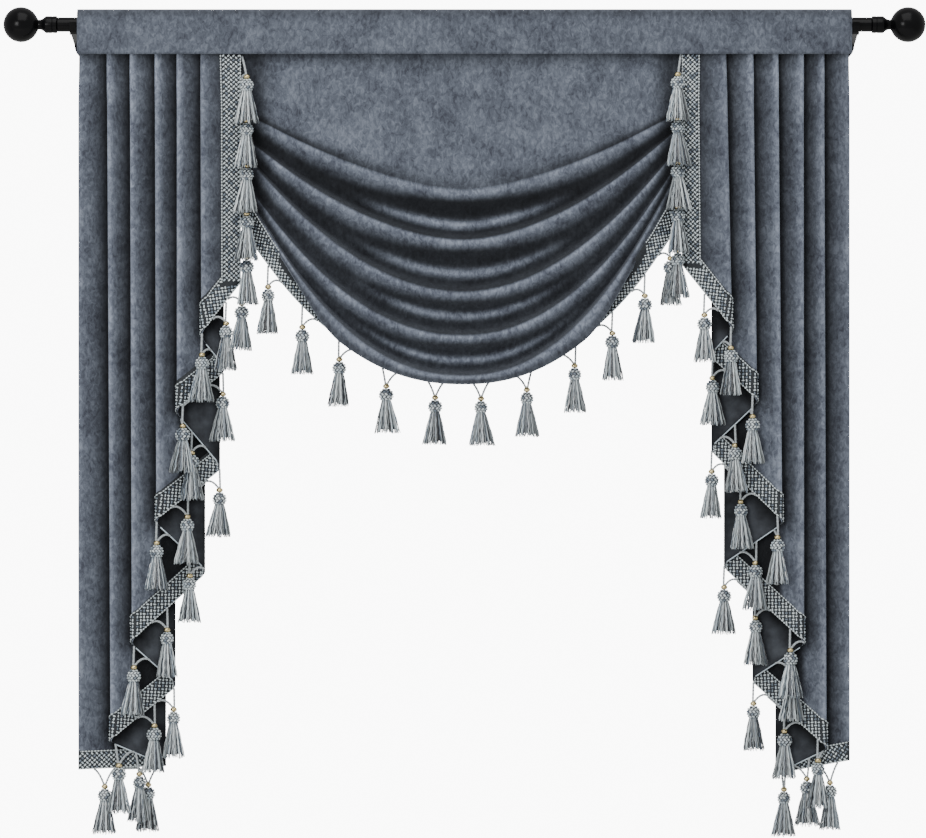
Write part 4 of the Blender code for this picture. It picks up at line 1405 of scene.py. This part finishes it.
def make_swag(velvet, wrong_side):
    """The draped swag. Its columns of places carry the braid."""
    columns = []
    shades = []
    for step in range(SWAG_COLUMNS + 1):
        across = SWAG_REACH * (2.0 * step / SWAG_COLUMNS - 1.0)
        places, stations = refined(*swag_column(across))
        # Painted shade towards the swag's ends, beside the panels
        side_shade = lerp(SWAG_SIDE_TONE, 1.0, ease((1.0 - abs(across)) / SWAG_SIDE_REACH))
        for place, station in zip(places, stations):
            place.y -= RIDGE_HEIGHT * middle_ridge(station, across)
        columns.append(places)
        shades.append([swag_painted_light(station, across) * side_shade for station in stations])
    flats = []
    for places in columns:
        travelled = 0.0
        line = [(places[0].x, 0.0)]
        for before, after in zip(places, places[1:]):
            travelled += (after - before).length
            line.append((after.x, -travelled))
        flats.append(line)
    grid = [list(row) for row in zip(*columns)]
    tones = [list(row) for row in zip(*shades)]
    flats = [list(row) for row in zip(*flats)]
    shape = Shape()
    back_tones = [[BACK_TONE] * len(line) for line in grid]
    add_slab(shape, grid, (CLOTH_HALF_THICK, -CLOTH_HALF_THICK), 1, tones, flats, 1, back_tones)
    made = fit(shape.to_object("swag_cloth", [velvet, wrong_side]), "velvet", "swag")
    return columns


class Hem:
    """The swag's hem and the cloth over it, measured along the hem."""

    def __init__(self, columns):
        self.columns = columns
        self.step = columns[1][0].x - columns[0][0].x
        self.lengths = [0.0]
        for before, after in zip(columns, columns[1:]):
            self.lengths.append(self.lengths[-1] + (after[-1] - before[-1]).length)
        self.total = self.lengths[-1]

    def at(self, along):
        """A place on the hem."""
        along = max(0.0, min(self.total, along))
        index, share = segment(self.lengths, along)
        return self.columns[index][-1].lerp(self.columns[index + 1][-1], share)

    def slope(self, along):
        """The direction of the hem, from left to right."""
        return (self.at(along + 1.0) - self.at(along - 1.0)).normalized()

    def width_at(self, along):
        """The braid's width square to the hem, less where the belly of the swag hangs over it."""
        slope = self.slope(along)
        start, full = BELLY_HIDES_HEM
        across = abs(self.at(along).x - SWAG_MIDDLE) / SWAG_HALF_SPAN
        return BRAID_WIDTH * lerp(1.0, abs(slope.x), ease((start - across) / (start - full)))

    def cloth_out(self, index, height):
        """How far out one column of the cloth is at a height, from the hem upwards."""
        column = self.columns[index]
        lower = len(column) - 1
        while lower > 1 and column[lower - 1].z < height:
            lower -= 1
        share = (height - column[lower].z) / (column[lower - 1].z - column[lower].z)
        return lerp(column[lower].y, column[lower - 1].y, max(0.0, min(1.0, share)))

    def inside(self, across, along):
        """A place on the cloth's middle surface, a distance square to the hem."""
        foot = self.at(along)
        slope = self.slope(along)
        distance = foot.x - slope.z * across
        height = foot.z + slope.x * across
        place = (distance - self.columns[0][0].x) / self.step
        index = max(0, min(len(self.columns) - 2, int(place)))
        share = max(0.0, min(1.0, place - index))
        out = lerp(self.cloth_out(index, height), self.cloth_out(index + 1, height), share)
        return Vector((distance, out, height))


def under_belly(place):
    """Whether a place lies above the hem's upright strip where the belly hangs over it."""
    across = (place.x - SWAG_MIDDLE) / SWAG_HALF_SPAN
    strip_top = swag_line(SWAG_EDGE, across) + HEM_RAISED + BRAID_WIDTH
    return abs(across) < BELLY_HIDES_HEM[0] and place.z > strip_top


def make_swag_braid(columns, ground, silk):
    """The braid on the swag's hem."""
    hem = Hem(columns)
    level = braid_ground_level()
    first = columns[0][0].x
    last = columns[-1][0].x

    def surface(across, along):
        return hem.inside(across, along) + FORWARD * level, FORWARD

    def keep(across, along):
        place = hem.inside(across, along)
        return first < place.x < last and not under_belly(place)

    base = Shape()
    steps = range(SWAG_GROUND_STEPS + 1)
    stations = [hem.total * step / SWAG_GROUND_STEPS for step in steps]
    grid = []
    for row in range(GROUND_COLUMNS + 1):
        rise = 1.0 - row / GROUND_COLUMNS
        grid.append([hem.inside(hem.width_at(along) * rise, along) for along in stations])
    add_slab(base, grid, (level, CLOTH_HALF_THICK + PIECE_GAP))
    made = fit(base.to_object("braid_swag_ground", [ground]), "braid", "braid_swag")
    weave = Shape()
    add_band(weave, surface, hem.total, hem.width_at, random.Random("braid swag"), keep)
    plait = fit(weave.to_object("braid_swag_plait", [silk]), "braid")


# Tassels


class Tassel:
    """Where one tassel hangs: two ends of its cord, its bead, its head and the foot of its skirt."""

    def __init__(self, first, second, bead):
        self.ends = sorted((first, second), key=lambda end: math.atan2(end.x - bead.x, end.z - bead.z))
        self.bead = bead
        self.head = lowered(bead, BEAD_TO_HEAD)
        self.foot = lowered(self.head, SKIRT_FOOT)

    def centre(self, drop):
        """The middle of the tassel, a distance below the top of its head."""
        return lerp(self.head, self.foot, drop / SKIRT_FOOT)

    def settle(self, node):
        """Take the tassel's depth from its solid, at the head's widest ring and at the skirt's foot."""
        places = [vertex.co / MM for vertex in node.data.vertices]
        near = [place for place in places if abs(place.x - self.head.x) < SOLID_HALF_WIDTH]
        head_ring = self.head.z - HEAD_WIDEST
        heads = [place.y for place in near if abs(place.z - head_ring) < HEAD_RING_REACH]
        feet = [place.y for place in near if abs(place.z - self.foot.z) < FOOT_RING_REACH]
        head_out = (min(heads) + max(heads)) / 2.0
        foot_out = (min(feet) + max(feet)) / 2.0
        slope = (foot_out - head_out) / (SKIRT_FOOT - HEAD_WIDEST)
        self.head.y = head_out - slope * HEAD_WIDEST
        self.foot.y = foot_out
        self.bead.y = self.head.y


def hung_bead(upper, lower):
    """A bead hangs under the upper end of a steep loop, and under the middle of a level one."""
    level = ease(1.0 - (upper.z - lower.z) / LEVEL_FALL)
    return lerp(lowered(upper, CORD_DROP), lowered((upper + lower) / 2.0, CORD_DROP_LEVEL), level)


def below_edge(point, after):
    """A point just off a slanted edge, square to it and downwards."""
    along = (after - point).normalized()
    down = Vector((0.0, 0.0, -1.0))
    return point + (down - along * down.dot(along)).normalized() * CORD_OFF_EDGE


def walk(edge_point, start, distance, step):
    """The coordinate that lies a distance further along an edge."""
    here = edge_point(start)
    travelled = 0.0
    while travelled < distance:
        start += step
        there = edge_point(start)
        travelled += (there - here).length
        here = there
    return start


def loop_on(edge_point, start, step):
    """A tassel whose cord loop hangs from an edge."""
    finish = walk(edge_point, start, CORD_SPREAD, step)
    first = below_edge(edge_point(start), edge_point(start + step))
    second = below_edge(edge_point(finish), edge_point(finish + step))
    upper, lower = (first, second) if first.z > second.z else (second, first)
    return Tassel(first, second, hung_bead(upper, lower))


def panel_tassels(name):
    """The tassels of one side panel, from the header down and outwards."""
    corners = PANEL_CORNERS[name]
    side = SIDES[name]
    toward_middle = Vector((-side, 0.0, 0.0))

    def inner_point(height):
        point = panel_point(corners, 0.0, max(height, corners[0][3]))
        return Vector((point.x * side, point.y, height)) + toward_middle * CORD_OFF_EDGE

    def cut_point(edge):
        edge = min(edge, float(LAST_CORNER))
        return mirror(panel_point(corners, edge, cut_height(corners, edge)), side)

    made = []
    for height in EDGE_TASSELS[name]:
        upper = inner_point(height)
        lower = inner_point(max(height - CORD_SPREAD, corners[0][3] + CORD_OFF_EDGE))
        bead = lowered(upper + toward_middle * INNER_HANG[name], CORD_DROP)
        made.append(Tassel(upper, lower, bead))
    for edge in CUT_TASSELS[name]:
        made.append(loop_on(cut_point, edge, CUT_STEP))
    return made


def swag_tassels():
    """The tassels of the swag, from left to right."""
    steps = range(SWAG_SOURCE_COLUMNS + 1)
    hem = [swag_column(SWAG_REACH * (2.0 * step / SWAG_SOURCE_COLUMNS - 1.0))[0][-1] for step in steps]

    def hem_point(distance):
        index, share = segment([place.x for place in hem], distance)
        return hem[index].lerp(hem[index + 1], min(share, 1.0))

    return [loop_on(hem_point, place, HEM_STEP) for place in SWAG_LOOPS]


def skirt_radius(drop, fullness):
    """The radius of the skirt, a distance below the top of the head."""
    share = (drop - SKIRT_TOP) / (SKIRT_FOOT - SKIRT_TOP)
    foot = SKIRT_RADIUS[1] * fullness
    return lerp(SKIRT_RADIUS[0], foot, max(0.0, min(1.0, share)) ** SKIRT_FLARE)


def around_tassel(tassel, drop, angle, radius):
    """A place on a flattened ring round a tassel."""
    return tassel.centre(drop) + Vector((math.sin(angle), -TASSEL_DEPTH * math.cos(angle), 0.0)) * radius


def add_rings(shape, tassel, rings, sides, colour):
    """Add a closed body of rings round a tassel: rows of drop and radius."""
    join_rings(shape, [
        [shape.point(around_tassel(tassel, drop, angle, radius), colour) for angle in circle(sides)]
        for drop, radius in rings
    ])


def add_skirt(shape, tassel, dice):
    """The thin yarns of one skirt, in locks, round a near-black core that stands in for the shade inside,
    with painted shade and glints on the yarns.
    """
    core_foot = SKIRT_FOOT - CORE_SHORTER
    drops = [lerp(SKIRT_TOP, core_foot, step / CORE_STEPS) for step in range(CORE_STEPS + 1)]
    fullness = dice.uniform(*FULLNESS)
    core = [(drop, CORE_SHARE * skirt_radius(drop, fullness)) for drop in drops]
    # Near-black core: painted shade inside the skirt
    add_rings(shape, tassel, core, CORE_SIDES, SLATE)
    lean = dice.uniform(-SKIRT_LEAN, SKIRT_LEAN)
    lock_phase = dice.uniform(0.0, PHASE_MOST)
    shaded_side = dice.choice((-1.0, 1.0))
    for yarn, angle in enumerate(circle(YARNS)):
        angle += dice.uniform(-YARN_JITTER, YARN_JITTER)
        groove = 0.5 + 0.5 * math.cos(LOCKS * angle + lock_phase)
        angle += LOCK_PULL * math.sin(LOCKS * angle + lock_phase)
        depth = 1.0 if yarn % 3 else dice.uniform(*YARN_DEPTHS)
        foot = SKIRT_FOOT + dice.uniform(*YARN_FOOT)
        phase = dice.uniform(0.0, PHASE_MOST)
        # Deeper yarns take darker colours, as painted shade
        colour = dice.choice(YARN_SHADES if depth == 1.0 else DEEP_YARN_SHADOW_COLOURS)
        # Painted shade on one side of the skirt and in the grooves between locks, painted light on the
        # locks
        in_shade = ease(shaded_side * math.sin(angle) * SHADE_FALL - SHADE_START)
        shade = lerp(1.0, SHADED_YARNS, in_shade) * lerp(LOCK_RIDGE_LIGHT, GROOVE_SHADE, groove)
        wander = dice.uniform(-YARN_WANDER, YARN_WANDER)
        path = []
        colours = []
        for step in range(YARN_STEPS + 1):
            share = step / YARN_STEPS
            drop = lerp(SKIRT_TOP - YARN_START, foot, share)
            turn = angle + wander * share + TURN_WAVE[0] * math.sin(phase + TURN_WAVE[1] * step)
            reach = depth * (1.0 - LOCK_DEPTH * groove) * skirt_radius(drop, fullness)
            reach += REACH_WAVE[0] * math.sin(phase + REACH_WAVE[1] * step)
            sway = Vector((lean * (drop - SKIRT_TOP), 0.0, 0.0))
            path.append(around_tassel(tassel, drop, turn, reach) + sway)
            # Painted glints along the yarn
            gleam = shade * (GLEAM_WAVE[0] + GLEAM_WAVE[1] * math.sin(phase + GLEAM_WAVE[2] * step))
            colours.append(tuple(min(1.0, value * gleam) for value in colour))
        facing = Vector((math.cos(angle), math.sin(angle), 0.0))
        add_tube(shape, path, [YARN_RADIUS] * len(path), 3, colours, [facing] * len(path))


def add_head(shape, tassel, dice):
    """The knotted head: a near-black core, standing in for the shade between the lumps, under rows of
    plaited lumps.
    """
    fullness = dice.uniform(*HEAD_FULLNESS)
    core = [(drop, radius * fullness) for drop, radius in HEAD_CORE]
    # Near-black core: painted shade between the lumps
    add_rings(shape, tassel, core, CORE_SIDES, SLATE)
    for row, (drop, radius, count, rise) in enumerate(HEAD_LUMPS):
        for step in range(count):
            angle = 2.0 * math.pi * (step + 0.5 * (row % 2)) / count
            angle += dice.uniform(-HEAD_JITTER, HEAD_JITTER)
            out = Vector((math.sin(angle), -math.cos(angle), rise)).normalized()
            around = Vector((math.cos(angle), math.sin(angle), 0.0))
            up = out.cross(around)
            tilt = math.radians(HEAD_TILT if row % 2 else -HEAD_TILT)
            direction = around * math.cos(tilt) + up * math.sin(tilt)
            place = around_tassel(tassel, drop, angle, radius * fullness)
            add_grain(shape, place, direction, out, HEAD_GRAIN, silk_colour(dice))


def add_bead(shape, tassel):
    """The gilt bead over the head."""
    rings = []
    for level in range(BEAD_LEVELS + 1):
        angle = math.pi * (BEAD_SPAN[0] + BEAD_SPAN[1] * level / BEAD_LEVELS)
        radius = BEAD_RADIUS * math.sin(angle)
        height = BEAD_FLATNESS * BEAD_RADIUS * math.cos(angle)
        ring = []
        for turn in circle(BEAD_SIDES):
            offset = Vector((radius * math.cos(turn), radius * math.sin(turn), height))
            ring.append(shape.point(tassel.bead + offset))
        rings.append(ring)
    join_rings(shape, rings, 1, inside_out=True)


def add_cord(shape, start, finish, bow):
    """A thin twisted cord that bows between two points."""
    path = []
    colours = []
    radii = []
    for step in range(CORD_STEPS + 1):
        share = step / CORD_STEPS
        path.append(start.lerp(finish, share) + bow * (4.0 * share * (1.0 - share)))
        # Painted highlights along the twist
        glow = CORD_GLOW[0] + CORD_GLOW[1] * math.sin(CORD_GLOW[2] * step)
        colours.append(tuple(value * glow for value in CORD_SHADE))
        radii.append(CORD_RADIUS * (1.0 + CORD_TWIST[0] * math.sin(CORD_TWIST[1] * step)))
    add_tube(shape, path, radii, CORD_SIDES, colours, [FORWARD] * len(path))


def add_tassel(shape, tassel, dice):
    """One whole tassel: cord loop, bead, head and skirt."""
    for end in tassel.ends:
        sideways = 1.0 if end.x > tassel.bead.x else -1.0
        top = tassel.bead + Vector((sideways * CORD_FROM_BEAD[0], 0.0, CORD_FROM_BEAD[1]))
        rise = min(CORD_BOW_MOST, CORD_BOW * abs(end.x - top.x))
        finish = end + (end - top).normalized() * CORD_INTO_EDGE
        add_cord(shape, top, finish, Vector((0.0, 0.0, rise)))
    add_bead(shape, tassel)
    add_head(shape, tassel, dice)
    add_skirt(shape, tassel, dice)


def make_tassels(group, tassels, frame, silk, gold):
    """The tassels of one edge, one piece for each node."""
    number = 1
    while number <= len(tassels):
        node = f"tassel_{group}_{number:02d}"
        members = tassels[number - 1:number]
        if number in JOINED_TASSELS[group]:
            node = f"tassels_{group}_{number:02d}_{number + 1:02d}"
            members = tassels[number - 1:number + 1]
        dice = random.Random(node)
        shape = Shape()
        for tassel in members:
            tassel.settle(frame["nodes"][node])
            add_tassel(shape, tassel, dice)
        if len(members) == 2:
            pairs = [(near, far) for near in members[0].ends for far in members[1].ends]
            near, far = min(pairs, key=lambda ends: (ends[0] - ends[1]).length)
            add_cord(shape, near, far, Vector((0.0, 0.0, 0.0)))
        fit(shape.to_object(node + "_silk", [silk, gold]), "yarn", node)
        number += len(members)


# Rod and finials


def make_turned(name, node, profile, finish):
    """A body turned about the rod's axis: rows of distance along it and radius."""
    shape = Shape()
    rings = []
    for distance, radius in profile:
        ring = []
        for angle in circle(TURNED_SIDES):
            place = Vector((distance, ROD_OUT + radius * math.cos(angle), radius * math.sin(angle)))
            ring.append(shape.point(place, grey(1.0), (distance * MM, angle)))
        rings.append(ring)
    join_rings(shape, rings, inside_out=profile[-1][0] > profile[0][0])
    made = shape.to_object(name, [finish])
    made.data.set_sharp_from_angle(angle=math.radians(SHARP_ANGLE))
    fit(made, "black_metal", node)


def make_rod(finish):
    """The rod with its ends eased."""
    make_turned("rod_body", "rod", [
        (-ROD_HALF_LENGTH, ROD_RADIUS - ROD_EASE),
        (-ROD_HALF_LENGTH + ROD_EASE, ROD_RADIUS),
        (ROD_HALF_LENGTH - ROD_EASE, ROD_RADIUS),
        (ROD_HALF_LENGTH, ROD_RADIUS - ROD_EASE),
    ], finish)


def make_finial(name, side, finish):
    """A ball on a grooved neck and cap."""
    profile = list(FINIAL_PROFILE)
    neck = math.asin(NECK_RADIUS / BALL_RADIUS)
    for step in range(1, BALL_STEPS):
        angle = lerp(neck, math.pi, step / BALL_STEPS)
        profile.append((BALL_CENTRE - BALL_RADIUS * math.cos(angle), BALL_RADIUS * math.sin(angle)))
    profile.append((BALL_CENTRE + BALL_RADIUS, BALL_END_RADIUS))
    profile = [(side * (FINIAL_START + distance), radius) for distance, radius in profile]
    make_turned(f"finial_{name}_body", "finial_" + name, profile, finish)


# Scene


def make_floor():
    """A plain pale floor below the cloth."""
    shape = Shape()
    signs = ((-1, -1), (1, -1), (1, 1), (-1, 1))
    shape.face([shape.point(Vector((x * FLOOR_HALF, y * FLOOR_HALF, FLOOR_HEIGHT))) for x, y in signs])
    made = Nodes("pale floor")
    cloud = made.noise(made.object_place(), *FLOOR_CLOUDS)
    finish = made.finished(made.ramp(cloud, ((0.3, FLOOR_COLOUR), (0.7, FLOOR_LIGHT))), Roughness=0.8)
    shape.to_object("floor", [finish])


def make_camera():
    """A long lens straight in front, framed as the photograph."""
    data = bpy.data.cameras.new("camera")
    data.sensor_width = SENSOR
    data.lens = SENSOR * CAMERA_BACK / (PHOTO_WIDTH_PX * PIXEL)
    data.clip_end = 100.0
    camera = bpy.data.objects.new("camera", data)
    camera.location = (Vector(VIEW_CENTRE) + Vector((0.0, -CAMERA_BACK, 0.0))) * MM
    camera.rotation_euler = (math.pi / 2.0, 0.0, 0.0)
    bpy.context.scene.collection.objects.link(camera)
    bpy.context.scene.camera = camera


def add_light(name, place, size, power):
    """A soft square light aimed at the cloth."""
    data = bpy.data.lights.new(name, "AREA")
    data.shape = "SQUARE"
    data.size = size
    data.energy = power
    lamp = bpy.data.objects.new(name, data)
    lamp.location = place
    lamp.rotation_mode = "QUATERNION"
    lamp.rotation_quaternion = (Vector(LIGHT_TARGET) - Vector(place)).to_track_quat("-Z", "Y")
    bpy.context.scene.collection.objects.link(lamp)


def make_lights():
    """A white room, seen brighter than it shines, with a soft top light and a front light."""
    world = bpy.data.worlds.new("white room")
    world.use_nodes = True
    nodes = world.node_tree.nodes
    links = world.node_tree.links
    rays = nodes.new("ShaderNodeLightPath")
    choice = nodes.new("ShaderNodeMixShader")
    links.new(rays.outputs["Is Camera Ray"], choice.inputs["Fac"])
    rooms = ((nodes["Background"], ROOM_LIGHT), (nodes.new("ShaderNodeBackground"), ROOM_SEEN))
    for number, (room, strength) in enumerate(rooms, 1):
        room.inputs["Color"].default_value = WHITE
        room.inputs["Strength"].default_value = strength
        links.new(room.outputs["Background"], choice.inputs[number])
    links.new(choice.outputs["Shader"], nodes["World Output"].inputs["Surface"])
    bpy.context.scene.world = world
    for light in LIGHTS:
        add_light(*light)


def main():
    """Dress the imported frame."""
    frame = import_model()
    velvet = velvet_material()
    wrong_side = wrong_side_material()
    ground = ground_material()
    plait = yarn_material("silver plait", 0.5)
    silk = yarn_material("silver yarn", 0.42)
    gold = gold_material()
    black = black_material()

    make_rod(black)
    for name, side in SIDES.items():
        make_finial(name, side, black)
        bracket = frame["nodes"]["bracket_" + name]
        for slot in bracket.material_slots:
            slot.material = black
    make_header(velvet, wrong_side)
    columns = make_swag(velvet, wrong_side)
    make_swag_braid(columns, ground, plait)
    make_tassels("swag", swag_tassels(), frame, silk, gold)
    for name in SIDES:
        make_panel(name, velvet, wrong_side)
        make_panel_braid(name, ground, plait)
        make_tassels(name, panel_tassels(name), frame, silk, gold)
    make_floor()
    make_lights()
    make_camera()


main()
